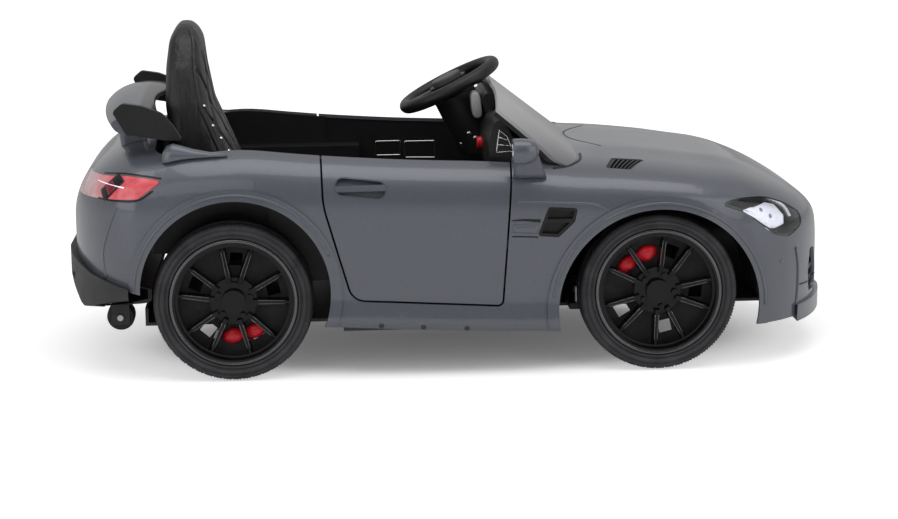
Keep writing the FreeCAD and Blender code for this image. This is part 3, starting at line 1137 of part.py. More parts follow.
def make_seat_back():
    """Tall seat back: crowned front, drawn-in sides and sewn tufts."""
    wires = []
    for height, rear, front, half in SEAT_BACK_SECTIONS:
        bevel = 16.0
        side_front = front - 4
        crown = V(front + SEAT_CROWN * half / 110, 0, height)
        left, right = V(side_front, half, height), V(side_front, -half, height)
        rear_left, rear_right = V(rear + bevel, half - 4, height), V(rear + bevel, -half + 4, height)
        back_left, back_right = V(rear, half - bevel, height), V(rear, -half + bevel, height)
        wires.append(Part.Wire([Part.Arc(right, crown, left).toShape(), Part.makeLine(left, rear_left),
                                Part.makeLine(rear_left, back_left), Part.makeLine(back_left, back_right),
                                Part.makeLine(back_right, rear_right), Part.makeLine(rear_right, right)]))
    back = Part.makeLoft(wires, True, False)
    for row, (height, front) in enumerate(SEAT_TUFT_ROWS):
        columns = (-1.5, -0.5, 0.5, 1.5) if row % 2 else (-2, -1, 0, 1, 2)
        for column in columns:
            centre = V(front + SEAT_TUFT_RADIUS + 8, column * SEAT_TUFT_PITCH, height)
            back = back.cut(Part.makeSphere(SEAT_TUFT_RADIUS, centre))
    return back


def make_cushion():
    """Seat cushion with a crowned top and drawn-in sides."""
    rear = SEAT_FRONT_X - CUSHION_LENGTH - 4
    base = SEAT_FLOOR_Z + TUB_WALL + SEAT_CLEARANCE
    wires = []
    for share, half, height in CUSHION_SECTIONS:
        x = rear + share * CUSHION_LENGTH
        y, z = half * CUSHION_HALF_WIDTH, base + height * CUSHION_HEIGHT - 3
        corners = [V(x, y - 8, z), V(x, y + 3, base + 12), V(x, y, base), V(x, -y, base),
                   V(x, -y - 3, base + 12), V(x, -y + 8, z)]
        edges = [Part.makeLine(first, second) for first, second in zip(corners[:-1], corners[1:])]
        crown = V(x, 0, z + 3 + CUSHION_CROWN * height)
        edges.append(Part.Arc(corners[-1], crown, corners[0]).toShape())
        wires.append(Part.Wire(edges))
    return Part.makeLoft(wires, True, False)


def egg(half_length, half_height):
    """Egg form about the mirror's centre, long along X."""
    rear, front = V(-half_length, 0, 0), V(half_length, 0, 0)
    ellipse = Part.Ellipse(V(0, 0, 0), half_length, half_height)
    upper = Part.ArcOfEllipse(ellipse, 0, math.pi).toShape()
    form = Part.Face(Part.Wire([upper, Part.makeLine(rear, front)])).revolve(V(0, 0, 0), V(1, 0, 0), 360)
    form.translate(MIRROR_CENTRE)
    return form


def make_mirror():
    """Right-hand mirror: housing on its stalk, and the glass."""
    behind = box(0, MIRROR_FACE_X, -320, -200, 200, 400)
    stalk = rod(MIRROR_FOOT, MIRROR_CENTRE + V(4, 8, -6), MIRROR_STALK_RADIUS)
    housing = fuse_all([egg(MIRROR_HALF_LENGTH, MIRROR_HALF_HEIGHT).cut(behind), stalk])
    housing = largest(housing.cut(body_form(-SEAT_CLEARANCE)))
    core = egg(MIRROR_HALF_LENGTH - MIRROR_RIM, MIRROR_HALF_HEIGHT - MIRROR_RIM)
    glass_end = MIRROR_FACE_X + MIRROR_GLASS_THICKNESS
    pocket = box(MIRROR_FACE_X - 1, glass_end, -320, -200, 200, 400).common(core)
    glass = box(MIRROR_FACE_X + 0.3, glass_end, -320, -200, 200, 400).common(core)
    return housing.cut(pocket), glass


def main():
    os.makedirs("parts", exist_ok=True)
    export("body_shell", make_body_shell())
    export("arch_lips", *make_arch_lips())
    export("arch_liners", *make_arch_liners())
    export("chassis_pan", make_pan())
    export("cockpit_tub", *make_tub())
    export("door_hinge_pins", *make_hinge_pins())
    skin, panel, cup = make_door()
    for suffix, turn in (("right", lambda shape: shape), ("left", mirrored)):
        export("door_skin_" + suffix, turn(skin))
        export("door_panel_" + suffix, turn(panel))
        export("door_handle_" + suffix, turn(cup))
    lens, unit = make_headlamp()
    export("headlamp_covers", *pair(lens))
    export("headlamp_units", *pair(unit))
    export("tail_lamps", *pair(make_tail_lamp()))
    hood_vent, fender_vent = make_vents()
    export("body_vents", *(pair(hood_vent) + pair(fender_vent)))
    export("front_grilles", *make_grilles())
    export("front_splitter", make_splitter())
    export("rear_diffuser", make_diffuser())
    rollers, roller_axle = make_rollers()
    export("transport_rollers", *rollers)
    export("roller_axle", roller_axle)
    blade, arms, pedestal = make_wing()
    export("rear_wing", blade)
    export("wing_arms", *arms)
    export("wing_pedestal", pedestal)
    glass, frame = make_windscreen()
    export("windscreen", glass)
    export("windscreen_frame", frame)
    export("dashboard", make_dashboard())
    export("power_button", make_button())
    export("direction_switch", make_switch())
    export("pedal", make_pedal())
    wheel, pad, shaft, column = make_steering()
    export("steering_wheel", wheel)
    export("horn_pad", pad)
    export("steering_shaft", shaft)
    export("steering_column", column)
    export("tie_rod", make_tie_rod())
    export("front_axle_beam", make_axle_beam())
    knuckle = make_knuckle()
    export("knuckle_right", knuckle)
    export("knuckle_left", mirrored(knuckle))
    tyre, rim, caliper = make_tyre(), make_rim(), make_caliper()
    axles = (("front", FRONT_AXLE_X, FRONT_SPOKE_PHASE), ("rear", REAR_AXLE_X, REAR_SPOKE_PHASE))
    for end, axle_x, phase in axles:
        for suffix in ("right", "left"):
            name = end + "_" + suffix
            left = suffix == "left"
            export("tyre_" + name, place_wheel(tyre, axle_x, phase, left))
            export("rim_" + name, place_wheel(rim, axle_x, phase, left))
            export("caliper_" + name, place_wheel(caliper, axle_x, phase, left))
    gear_motors, rear_axle = make_drive()
    export("battery", make_battery())
    export("control_box", make_control_box())
    export("charging_socket", make_socket())
    export("gear_motors", *gear_motors)
    export("rear_axle", rear_axle)
    export("seat_back", make_seat_back())
    export("seat_cushion", make_cushion())
    housing, mirror_glass = make_mirror()
    export("mirror_housings", *pair(housing))
    export("mirror_glasses", *pair(mirror_glass))


main()
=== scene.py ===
import math

import bmesh
import bpy
from mathutils import Matrix, Vector


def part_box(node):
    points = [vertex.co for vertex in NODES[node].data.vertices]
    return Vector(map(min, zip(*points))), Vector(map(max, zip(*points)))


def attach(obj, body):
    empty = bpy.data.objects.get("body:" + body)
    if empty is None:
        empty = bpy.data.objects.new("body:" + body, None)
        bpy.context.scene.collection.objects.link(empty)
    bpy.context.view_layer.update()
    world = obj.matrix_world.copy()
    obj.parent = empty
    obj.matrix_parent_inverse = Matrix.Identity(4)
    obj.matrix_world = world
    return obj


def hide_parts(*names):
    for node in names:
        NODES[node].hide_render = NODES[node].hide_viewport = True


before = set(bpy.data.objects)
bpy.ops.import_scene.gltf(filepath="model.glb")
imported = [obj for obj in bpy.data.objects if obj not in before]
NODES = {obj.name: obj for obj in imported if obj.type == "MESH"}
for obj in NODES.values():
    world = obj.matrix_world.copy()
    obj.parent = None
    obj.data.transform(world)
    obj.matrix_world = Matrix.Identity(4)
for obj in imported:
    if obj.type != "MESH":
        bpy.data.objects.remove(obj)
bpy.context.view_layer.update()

# Metres in a millimetre
MM = 0.001

# Wheel centres in x and y, and their height, in millimetres
WHEELS = {"front_right": (265, -222), "front_left": (265, 222), "rear_right": (-293, -222),
          "rear_left": (-293, 222)}
AXLE_HEIGHT = 105.0

# Camera fitted to the photograph: place in metres, and yaw, pitch and roll in degrees
CAMERA_PLACE = (-0.1935, -3.371, 0.7385)
CAMERA_TURN = (3.343, 10.553, -0.781)
FOCAL_PIXELS = 2438.0
IMAGE_WIDTH = 898.0
SENSOR_WIDTH = 36.0

# Colours, linear
PAINT = (0.112, 0.121, 0.145)
BLACK = (0.006, 0.006, 0.0065)
CHARCOAL = (0.028, 0.028, 0.030)
RUBBER = (0.036, 0.036, 0.040)
LEATHER = (0.013, 0.013, 0.014)
RED = (0.80, 0.016, 0.030)

# Places where a material changes, in metres along an axis
RIM_PLATE_EDGE = (0.2195, 0.2235)
TAIL_FADE = (-0.478, -0.446)
WING_BLACK_EDGE = (-0.414, -0.408)
# Height over which the windscreen and the instrument pod grow lighter upwards: a painted sheen
SCREEN_SHEEN_SPAN = (0.275, 0.350)

# Leather folds: how fast they change along each axis, per metre
FOLD_SCALE = (95.0, 60.0, 9.0)

# Studio light: levels of the room, where its backdrop and ceiling fade, and the floor's glow, which falls low
# under the car as a painted shadow
WORLD_LEVEL = 0.33
DARK_LEVEL = 0.06
BACKDROP_LEVEL = 0.62
BACKDROP_SPAN = (-0.30, 0.35)
CEILING_LEVEL = 0.9
CEILING_SPAN = (0.45, 0.95)
FLOOR_REACH = 30.0
# Low glow near the car paints a shadow under it; the far glow brings the floor up to white
FLOOR_GLOW_AND_SHADOW = [(0.0, 0.10), (0.62, 0.16), (0.95, 0.54), (6.0, 0.76)]
FLOOR_SHADE = (1.9, 3.4, 1.0)


def map_range(tree, value, over, to):
    """Value brought from one range to another in a shader tree."""
    node = tree.nodes.new("ShaderNodeMapRange")
    for name, number in zip(("From Min", "From Max", "To Min", "To Max"), (*over, *to)):
        node.inputs[name].default_value = number
    tree.links.new(value, node.inputs["Value"])
    return node.outputs["Result"]


class Shade:
    """One procedural material, built node by node around a principled shader."""

    def __init__(self, name):
        self.material = bpy.data.materials.new(name)
        self.material.use_nodes = True
        self.tree = self.material.node_tree
        self.shader = self.tree.nodes["Principled BSDF"]
        self.where = self.add("ShaderNodeTexCoord").outputs["Object"]

    def add(self, kind, **values):
        node = self.tree.nodes.new(kind)
        for key, value in values.items():
            if key in node.inputs:
                node.inputs[key].default_value = value
            else:
                setattr(node, key, value)
        return node

    def link(self, out, socket):
        self.tree.links.new(out, socket)
        return self

    def set(self, **values):
        for key, value in values.items():
            self.shader.inputs[key.replace("_", " ")].default_value = value
        return self

    def noise(self, scale, detail=3.0, rough=0.5):
        node = self.add("ShaderNodeTexNoise", Scale=scale, Detail=detail, Roughness=rough)
        self.link(self.where, node.inputs["Vector"])
        return node.outputs["Fac"]

    def cells(self, scale):
        node = self.add("ShaderNodeTexVoronoi", Scale=scale)
        self.link(self.where, node.inputs["Vector"])
        return node.outputs["Distance"]

    def axis(self, name):
        """Place along one axis, in metres."""
        node = self.add("ShaderNodeSeparateXYZ")
        self.link(self.where, node.inputs[0])
        return node.outputs[name]

    def blended(self, value, first, second):
        """Base colour that goes from one colour output to another by a value."""
        node = self.add("ShaderNodeMix", data_type="RGBA")
        self.link(value, node.inputs[0]).link(first, node.inputs[6]).link(second, node.inputs[7])
        return self.link(node.outputs[2], self.shader.inputs["Base Color"])

    def ramp(self, value, low, high, at=(0.3, 0.7)):
        node = self.add("ShaderNodeValToRGB")
        ends = node.color_ramp.elements
        for end, place, colour in zip(ends, at, (low, high)):
            end.position = place
            end.color = (*colour, 1.0)
        self.link(value, node.inputs["Fac"])
        return node.outputs["Color"]

    def span(self, value, low, high, over=(0.0, 1.0)):
        return map_range(self.tree, value, over, (low, high))

    def colour(self, value, low, high, at=(0.3, 0.7)):
        return self.link(self.ramp(value, low, high, at), self.shader.inputs["Base Color"])

    def rough(self, value, low, high):
        return self.link(self.span(value, low, high), self.shader.inputs["Roughness"])

    def bump(self, value, strength, distance):
        node = self.add("ShaderNodeBump", Strength=strength, Distance=distance)
        self.link(value, node.inputs["Height"])
        return self.link(node.outputs["Normal"], self.shader.inputs["Normal"])


def tint(colour, share):
    return tuple(min(1.0, channel * share) for channel in colour)


def paint(name, colour):
    """Metallic paint under clear lacquer, with fine flakes and a trace of orange peel."""
    shade = Shade(name)
    flakes = shade.noise(1400.0, 2.0, 0.6)
    shade.colour(flakes, tint(colour, 0.86), tint(colour, 1.16), (0.35, 0.68))
    shade.rough(shade.noise(9.0), 0.30, 0.38)
    shade.bump(shade.noise(140.0, 1.0), 0.03, 0.0006)
    return shade.set(Metallic=0.2, Coat_Weight=0.7, Coat_Roughness=0.05, Coat_IOR=1.5).material


def moulded(name, colour, roughness, grain):
    """Moulded plastic with a fine eroded grain and faint handling marks."""
    shade = Shade(name)
    shade.colour(shade.noise(26.0, 4.0), tint(colour, 0.85), tint(colour, 1.25))
    shade.rough(shade.noise(60.0), roughness - 0.06, roughness + 0.07)
    shade.bump(shade.cells(900.0), grain, 0.0004)
    return shade.material


def metal(name, colour, roughness):
    """Bright plated metal with a light brushed variation, also used in dark grey on the black rims as a
    painted sheen and painted highlights.
    """
    shade = Shade(name)
    shade.colour(shade.noise(40.0), tint(colour, 0.93), tint(colour, 1.04))
    shade.rough(shade.noise(220.0, 2.0), roughness * 0.7, roughness * 1.4)
    return shade.set(Metallic=1.0).material


def hide(name, colour):
    """Leather: pebbled grain with soft creases and worn high spots."""
    shade = Shade(name)
    shade.colour(shade.noise(30.0, 5.0), tint(colour, 0.8), tint(colour, 1.5))
    shade.rough(shade.noise(80.0, 4.0), 0.34, 0.48)
    stretch = shade.add("ShaderNodeVectorMath", operation="MULTIPLY")
    stretch.inputs[1].default_value = FOLD_SCALE
    folds = shade.add("ShaderNodeTexNoise", Scale=1.0, Detail=2.0)
    shade.link(shade.where, stretch.inputs[0]).link(stretch.outputs[0], folds.inputs["Vector"])
    soft = shade.add("ShaderNodeBump", Strength=0.55, Distance=0.006)
    grain = shade.add("ShaderNodeBump", Strength=0.3, Distance=0.0007)
    shade.link(folds.outputs["Fac"], soft.inputs["Height"]).link(shade.cells(420.0), grain.inputs["Height"])
    shade.link(soft.outputs["Normal"], grain.inputs["Normal"])
    shade.link(grain.outputs["Normal"], shade.shader.inputs["Normal"])
    return shade.set(Specular_IOR_Level=0.5).material


def rubber(name, colour):
    """Tyre rubber with dusty tread and a fine skin."""
    shade = Shade(name)
    shade.colour(shade.noise(35.0, 5.0), tint(colour, 0.55), tint(colour, 1.25))
    shade.rough(shade.noise(50.0), 0.55, 0.72)
    shade.bump(shade.noise(700.0, 2.0), 0.15, 0.0005)
    return shade.material


def clear(name, colour, roughness):
    """Clear moulded lens with faint flow waves."""
    shade = Shade(name)
    shade.colour(shade.noise(20.0), tint(colour, 0.97), colour)
    shade.bump(shade.noise(60.0), 0.02, 0.0005)
    return shade.set(Roughness=roughness, Transmission_Weight=1.0, IOR=1.35).material


def wheel_plastic(name):
    """Gloss black spokes in front of a dull charcoal brake plate."""
    shade = Shade(name)
    depth = shade.add("ShaderNodeMath", operation="ABSOLUTE")
    shade.link(shade.axis("Y"), depth.inputs[0])
    front = shade.span(depth.outputs[0], 0.0, 1.0, RIM_PLATE_EDGE)
    grain = shade.noise(60.0, 3.0)
    dull = shade.ramp(grain, tint(CHARCOAL, 0.7), tint(CHARCOAL, 1.2))
    gloss = shade.ramp(grain, tint(BLACK, 0.6), tint(BLACK, 1.2))
    shade.blended(front, dull, gloss)
    shade.link(shade.span(front, 0.55, 0.16), shade.shader.inputs["Roughness"])
    return shade.set(Specular_IOR_Level=0.3).material


def tail_plastic(name):
    """Red lens with a fine prism pattern that turns pale towards the middle of the tail."""
    shade = Shade(name)
    along = shade.span(shade.axis("X"), 0.0, 1.0, TAIL_FADE)
    spots = shade.noise(55.0, 2.0)
    pale = shade.ramp(spots, (0.50, 0.34, 0.35), (0.62, 0.50, 0.51))
    deep = shade.ramp(spots, (0.62, 0.05, 0.065), (0.86, 0.17, 0.20))
    shade.blended(along, pale, deep)
    shade.bump(shade.cells(420.0), 0.15, 0.0006)
    shade.set(Emission_Color=(1.0, 0.16, 0.20, 1.0), Emission_Strength=0.08)
    return shade.set(Roughness=0.12, Coat_Weight=0.6, Coat_Roughness=0.03).material


def wing_paint(name):
    """Paint on the wing's back, black along its rolled front edge."""
    shade = Shade(name)
    along = shade.span(shade.axis("X"), 0.0, 1.0, WING_BLACK_EDGE)
    flakes = shade.noise(1400.0, 2.0, 0.6)
    shade.blended(along, shade.ramp(flakes, tint(PAINT, 0.86), tint(PAINT, 1.16), (0.35, 0.68)),
                  shade.ramp(flakes, tint(BLACK, 0.8), tint(BLACK, 1.2)))
    shade.rough(shade.noise(9.0), 0.34, 0.42)
    return shade.set(Coat_Weight=0.5, Coat_Roughness=0.08).material


def satin(name, low, high):
    """Smooth satin plastic that is lighter towards its top, a painted sheen."""
    shade = Shade(name)
    grain = shade.noise(40.0, 2.0)
    shade.blended(shade.span(shade.axis("Z"), 0.0, 1.0, SCREEN_SHEEN_SPAN), shade.ramp(grain, tint(low, 0.97), low),
                  shade.ramp(grain, tint(high, 0.97), high))
    return shade.set(Roughness=0.3, Coat_Weight=0.3, Coat_Roughness=0.1).material


def glowing(name, colour, strength):
    """Glowing white element with a fine prism pattern, for lit lamps and for a painted glint."""
    shade = Shade(name)
    prisms = shade.cells(700.0)
    shade.colour(prisms, tint(colour, 0.8), colour)
    shade.bump(prisms, 0.3, 0.0005)
    return shade.set(Roughness=0.12, Emission_Color=(*colour, 1.0), Emission_Strength=strength).material


MATERIALS = {
    "paint": paint("paint_slate", PAINT),
    "black": moulded("plastic_black", BLACK, 0.42, 0.18),
    "charcoal": moulded("plastic_charcoal", CHARCOAL, 0.5, 0.25),
    "grey": moulded("plastic_grey", (0.07, 0.07, 0.072), 0.45, 0.2),
    "steel": metal("steel", (0.55, 0.55, 0.57), 0.3),
    "chrome": metal("chrome", (0.82, 0.83, 0.85), 0.08),
    "rim": wheel_plastic("rim_black"),
    # Grey metal on the black rims: a painted sheen on the lip and painted highlights along the spokes
    "lip": metal("rim_lip_sheen_metal", (0.15, 0.15, 0.158), 0.24),
    "gloss": moulded("plastic_gloss_black", BLACK, 0.14, 0.02),
    "wing": wing_paint("paint_wing"),
    "lamp_and_glint": glowing("lamp_lit_and_glint", (0.90, 0.91, 1.0), 0.55),
    "garnet": moulded("plastic_garnet", (0.26, 0.008, 0.030), 0.16, 0.02),
    "red": moulded("plastic_red", RED, 0.22, 0.05),
    "tail": tail_plastic("tail_red"),
    "lens": clear("lens_clear", (0.97, 0.98, 1.0), 0.03),
    # Windscreen grey, lighter towards the top as a painted sheen
    "screen": satin("screen_grey", (0.19, 0.19, 0.20), (0.44, 0.44, 0.45)),
    "leather": hide("leather_black", LEATHER),
    "leather_welt": hide("leather_welt", tint(LEATHER, 1.6)),
    "tyre": rubber("tyre_rubber", RUBBER),
    "mirror": metal("mirror_glass", (0.8, 0.81, 0.83), 0.04),
}

NODE_MATERIALS = {
    "paint": ["body_shell", "arch_lips", "door_skin_right", "door_skin_left", "wing_pedestal",
              "mirror_housings", "front_splitter", "door_handle_right", "door_handle_left"],
    "black": ["arch_liners", "body_vents", "front_grilles", "wing_arms", "windscreen_frame", "steering_wheel",
              "steering_column", "direction_switch", "charging_socket", "transport_rollers", "dashboard",
              "door_panel_right", "door_panel_left", "cockpit_tub", "pedal"],
    "charcoal": ["rear_diffuser", "chassis_pan", "gear_motors", "control_box", "battery", "tie_rod",
                 "front_axle_beam"],
    "grey": ["horn_pad"],
    "steel": ["door_hinge_pins", "roller_axle", "steering_shaft", "rear_axle", "knuckle_right",
              "knuckle_left"],
    "lens": ["headlamp_covers"],
    "gloss": ["headlamp_units"],
    "wing": ["rear_wing"],
    "tail": ["tail_lamps"],
    "screen": ["windscreen"],
    "mirror": ["mirror_glasses"],
    "red": ["power_button"] + ["caliper_" + wheel for wheel in WHEELS],
    "leather": ["seat_back", "seat_cushion"],
    "tyre": ["tyre_" + wheel for wheel in WHEELS],
    "rim": ["rim_" + wheel for wheel in WHEELS],
}


def dress_nodes():
    """Give every CAD node its procedural material."""
    for key, names in NODE_MATERIALS.items():
        for name in names:
            data = NODES[name].data
            data.materials.clear()
            data.materials.append(MATERIALS[key])


def add_camera():
    yaw, pitch, roll = (math.radians(angle) for angle in CAMERA_TURN)
    forward = Vector((math.sin(yaw) * math.cos(pitch), math.cos(yaw) * math.cos(pitch), -math.sin(pitch)))
    level = Vector((math.cos(yaw), -math.sin(yaw), 0.0))
    upright = level.cross(forward)
    right = level * math.cos(roll) + upright * math.sin(roll)
    up = upright * math.cos(roll) - level * math.sin(roll)
    data = bpy.data.cameras.new("camera")
    data.sensor_width = SENSOR_WIDTH
    data.lens = FOCAL_PIXELS / IMAGE_WIDTH * SENSOR_WIDTH
    camera = bpy.data.objects.new("camera", data)
    turn = Matrix((right, up, -forward)).transposed()
    camera.matrix_world = Matrix.Translation(CAMERA_PLACE) @ turn.to_4x4()
    bpy.context.scene.collection.objects.link(camera)
    bpy.context.scene.camera = camera


def add_lamp(name, place, target, size, power):
    data = bpy.data.lights.new(name, "AREA")
    data.shape = "RECTANGLE"
    data.size, data.size_y = size
    data.energy = power
    lamp = bpy.data.objects.new(name, data)
    lamp.location = place
    lamp.rotation_euler = (Vector(target) - Vector(place)).to_track_quat("-Z", "Y").to_euler()
    bpy.context.scene.collection.objects.link(lamp)


def largest(tree, first, second):
    """The larger of two values in a shader tree."""
    node = tree.nodes.new("ShaderNodeMath")
    node.operation = "MAXIMUM"
    tree.links.new(first, node.inputs[0])
    tree.links.new(second, node.inputs[1])
    return node.outputs[0]


def add_world():
    """Soft studio room: an even light, a white backdrop and ceiling, and a darker end behind the camera."""
    world = bpy.data.worlds.new("studio")
    world.use_nodes = True
    bpy.context.scene.world = world
    tree = world.node_tree
    light = tree.nodes["Background"]
    light.inputs["Color"].default_value = (1.0, 1.0, 1.0, 1.0)
    light.inputs["Strength"].default_value = WORLD_LEVEL
    where = tree.nodes.new("ShaderNodeTexCoord")
    axes = tree.nodes.new("ShaderNodeSeparateXYZ")
    tree.links.new(where.outputs["Generated"], axes.inputs[0])
    backdrop = map_range(tree, axes.outputs["Y"], BACKDROP_SPAN, (DARK_LEVEL, BACKDROP_LEVEL))
    ceiling = map_range(tree, axes.outputs["Z"], CEILING_SPAN, (DARK_LEVEL, CEILING_LEVEL))

    # The room is what the camera, a reflection or a lens sees, and it is white for the camera
    path = tree.nodes.new("ShaderNodeLightPath")
    seen = path.outputs["Is Camera Ray"]
    for name in ("Is Glossy Ray", "Is Transmission Ray"):
        seen = largest(tree, seen, path.outputs[name])
    walls = largest(tree, backdrop, ceiling)
    room = tree.nodes.new("ShaderNodeBackground")
    tree.links.new(largest(tree, walls, path.outputs["Is Camera Ray"]), room.inputs["Strength"])
    mix = tree.nodes.new("ShaderNodeMixShader")
    tree.links.new(seen, mix.inputs["Fac"])
    tree.links.new(light.outputs[0], mix.inputs[1])
    tree.links.new(room.outputs[0], mix.inputs[2])
    tree.links.new(mix.outputs[0], tree.nodes["World Output"].inputs["Surface"])


def add_floor():
    """Pale floor that keeps the shadow, brought up to white by a glow that only the camera sees; the glow
    falls low under the car, a painted shadow there.
    """
    mesh = bpy.data.meshes.new("floor")
    corners = [(-1, -1), (1, -1), (1, 1), (-1, 1)]
    mesh.from_pydata([(x * FLOOR_REACH, y * FLOOR_REACH, 0) for x, y in corners], [], [(0, 1, 2, 3)])
    floor = bpy.data.objects.new("floor", mesh)
    bpy.context.scene.collection.objects.link(floor)
    shade = Shade("floor_pale")
    shade.colour(shade.noise(3.0), (0.90, 0.90, 0.90), (0.93, 0.93, 0.93))
    shade.set(Roughness=0.9, Specular_IOR_Level=0.1)
    spread = shade.add("ShaderNodeVectorMath", operation="MULTIPLY")
    spread.inputs[1].default_value = FLOOR_SHADE
    distance = shade.add("ShaderNodeVectorMath", operation="LENGTH")
    shade.link(shade.where, spread.inputs[0]).link(spread.outputs[0], distance.inputs[0])
    # Glow by distance from the car, low under it: a painted shadow beneath the car
    glow_and_shadow = shade.add("ShaderNodeFloatCurve")
    farthest = FLOOR_GLOW_AND_SHADOW[-1][0]
    curve = glow_and_shadow.mapping.curves[0]
    for place, level in FLOOR_GLOW_AND_SHADOW[1:-1]:
        curve.points.new(place / farthest, level)
    curve.points[0].location = FLOOR_GLOW_AND_SHADOW[0]
    curve.points[-1].location = (1.0, FLOOR_GLOW_AND_SHADOW[-1][1])
    glow_and_shadow.mapping.update()
    shade.link(shade.span(distance.outputs["Value"], 0.0, 1.0, (0.0, farthest)), glow_and_shadow.inputs["Value"])
    path = shade.add("ShaderNodeLightPath")
    shown = shade.add("ShaderNodeMath", operation="MULTIPLY")
    shade.link(glow_and_shadow.outputs[0], shown.inputs[0]).link(path.outputs["Is Camera Ray"], shown.inputs[1])
    shade.set(Emission_Color=(1.0, 1.0, 1.0, 1.0))
    shade.link(shown.outputs[0], shade.shader.inputs["Emission Strength"])
    mesh.materials.append(shade.material)


def new_mesh(name, points, faces):
    """Mesh from points in millimetres, with its faces turned outwards."""
    mesh = bpy.data.meshes.new(name)
    mesh.from_pydata([Vector(point) * MM for point in points], [], faces)
    work = bmesh.new()
    work.from_mesh(mesh)
    bmesh.ops.recalc_face_normals(work, faces=work.faces)
    work.to_mesh(mesh)
    work.free()
    mesh.shade_smooth()
    return mesh


def add_piece(name, data, material, body):
    """Link a mesh or curve as a piece that rides on a body."""
    piece = bpy.data.objects.new(name, data)
    bpy.context.scene.collection.objects.link(piece)
    data.materials.append(MATERIALS[material])
    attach(piece, body)
    return piece


def skin_loops(loops, capped=True):
    """Points and faces of a form through closed loops of equal length."""
    count = len(loops[0])
    points = [point for loop in loops for point in loop]
    faces = []
    for row in range(len(loops) - 1):
        for k in range(count):
            a, b = row * count + k, row * count + (k + 1) % count
            faces.append((a, b, b + count, a + count))
    if capped:
        faces.append(tuple(range(count)))
        faces.append(tuple(range(len(points) - count, len(points))))
    return points, faces


def closed_skin(loops):
    """Points and faces of a ring-shaped form: the last loop joins the first."""
    points, faces = skin_loops(loops, capped=False)
    count, last = len(loops[0]), len(points) - len(loops[0])
    for k in range(count):
        after = (k + 1) % count
        faces.append((last + k, last + after, after, k))
    return points, faces


def bake(piece):
    """Replace a piece's mesh by what its modifiers make of it."""
    shown = piece.evaluated_get(bpy.context.evaluated_depsgraph_get())
    mesh = bpy.data.meshes.new_from_object(shown)
    piece.modifiers.clear()
    piece.data = mesh
    return mesh


def stuff(piece, hold, cap):
    """Swell a pad as pressed cloth, held where hold says, no point moving further than cap millimetres."""
    remesh = piece.modifiers.new("even", "REMESH")
    remesh.mode = "VOXEL"
    remesh.voxel_size = PAD_VOXEL * MM
    mesh = bake(piece)
    before = [point.co.copy() for point in mesh.vertices]
    group = piece.vertex_groups.new(name="held")
    for point in mesh.vertices:
        group.add([point.index], hold(point.co / MM, point.normal), "REPLACE")
    cloth = piece.modifiers.new("cloth", "CLOTH")
    cloth.settings.use_pressure = True
    cloth.settings.uniform_pressure_force = PAD_PRESSURE
    cloth.settings.vertex_group_mass = "held"
    cloth.settings.effector_weights.gravity = 0.0
    for step in range(1, PAD_STEPS + 1):
        bpy.context.scene.frame_set(step)
    mesh = bake(piece)
    bpy.context.scene.frame_set(1)
    for point, start in zip(mesh.vertices, before):
        move = point.co - start
        if move.length > cap * MM:
            point.co = start + move.normalized() * cap * MM
    finer = piece.modifiers.new("finer", "SUBSURF")
    finer.levels = finer.render_levels = 1
    mesh = bake(piece)
    mesh.shade_smooth()
    return mesh


# Squared-off rings: number of points, and power
SEAT_RING = (72, 0.42)
CUSHION_RING = (72, 0.4)
CALIPER_RING = (24, 0.75)
SHOULDER_RING = (24, 0.8)
MIRROR_RING = (32, 0.82)
FOOT_RING = (32, 0.7)
POD_RING = (32, 0.6)

# Cloth of the pads
PAD_VOXEL = 4.5
PAD_PRESSURE = 4.0
PAD_STEPS = 20

# Seat back: height, rear, front and half width of each level, its form, and where the cloth is held
SEAT_LEVELS = [(165.5, -370, -266, 97), (230, -373, -277, 103), (290, -377, -302, 108),
               (345, -383, -326, 106), (395, -381, -334, 91), (430, -376, -336, 71), (446, -368, -342, 52),
               (451, -361, -349, 32)]
SEAT_HEIGHTS = [165.5 + 5.5 * k for k in range(51)] + [448.0, 451.0]
SEAT_CROWN = 9.0
SEAT_CROWN_HALF = 110.0
SEAT_SWELL = 9.0
SEAT_HELD_BELOW = 172.0
REAR_FACING = -0.6
FRONT_FACING = 0.35

# Tufting: places of the buttons, and how far and how deep buttons and folds pull in
TUFT_PITCH = 42.0
TUFT_RISE = 40.0
TUFT_START = 235.0
TUFT_ROWS = 5
TUFT_COLUMNS = 4
TUFT_MARGIN = 12.0
TUFT_DEPTH = 9.5
TUFT_FACING = 0.3
TUFT_TOP = TUFT_START + TUFT_RISE * (TUFT_ROWS - 1) + 26.0
TUFT_TOP_FADE = 22.0
TUFT_SIDE_EDGE = 4.0
TUFT_SIDE_FADE = 14.0
FOLD_REACH = 0.13
FOLD_SHARE = 0.45
BUTTON_REACH = 0.24
BUTTON_SHARE = 0.55
PLEAT_HOLD = 1.4

# Studs on the seat back, the side ones in x and z, and the welt that follows its edges
STUD_PROFILE = [(3.0, -1.4), (2.7, 0.2), (2.1, 1.1), (1.2, 1.7), (0.3, 1.9)]
STUD_POINTS = 16
SIDE_STUDS = [(-341, 397), (-329, 345), (-318, 318), (-308, 300), (-298, 282)]
PIPING_HEIGHTS = [176 + 5.0 * k for k in range(55)]
PIPING_BEHIND = 4.0
PIPING_OUTSIDE = 2.0
PIPING_LIFT = 0.6
PIPING_RADIUS = 2.3

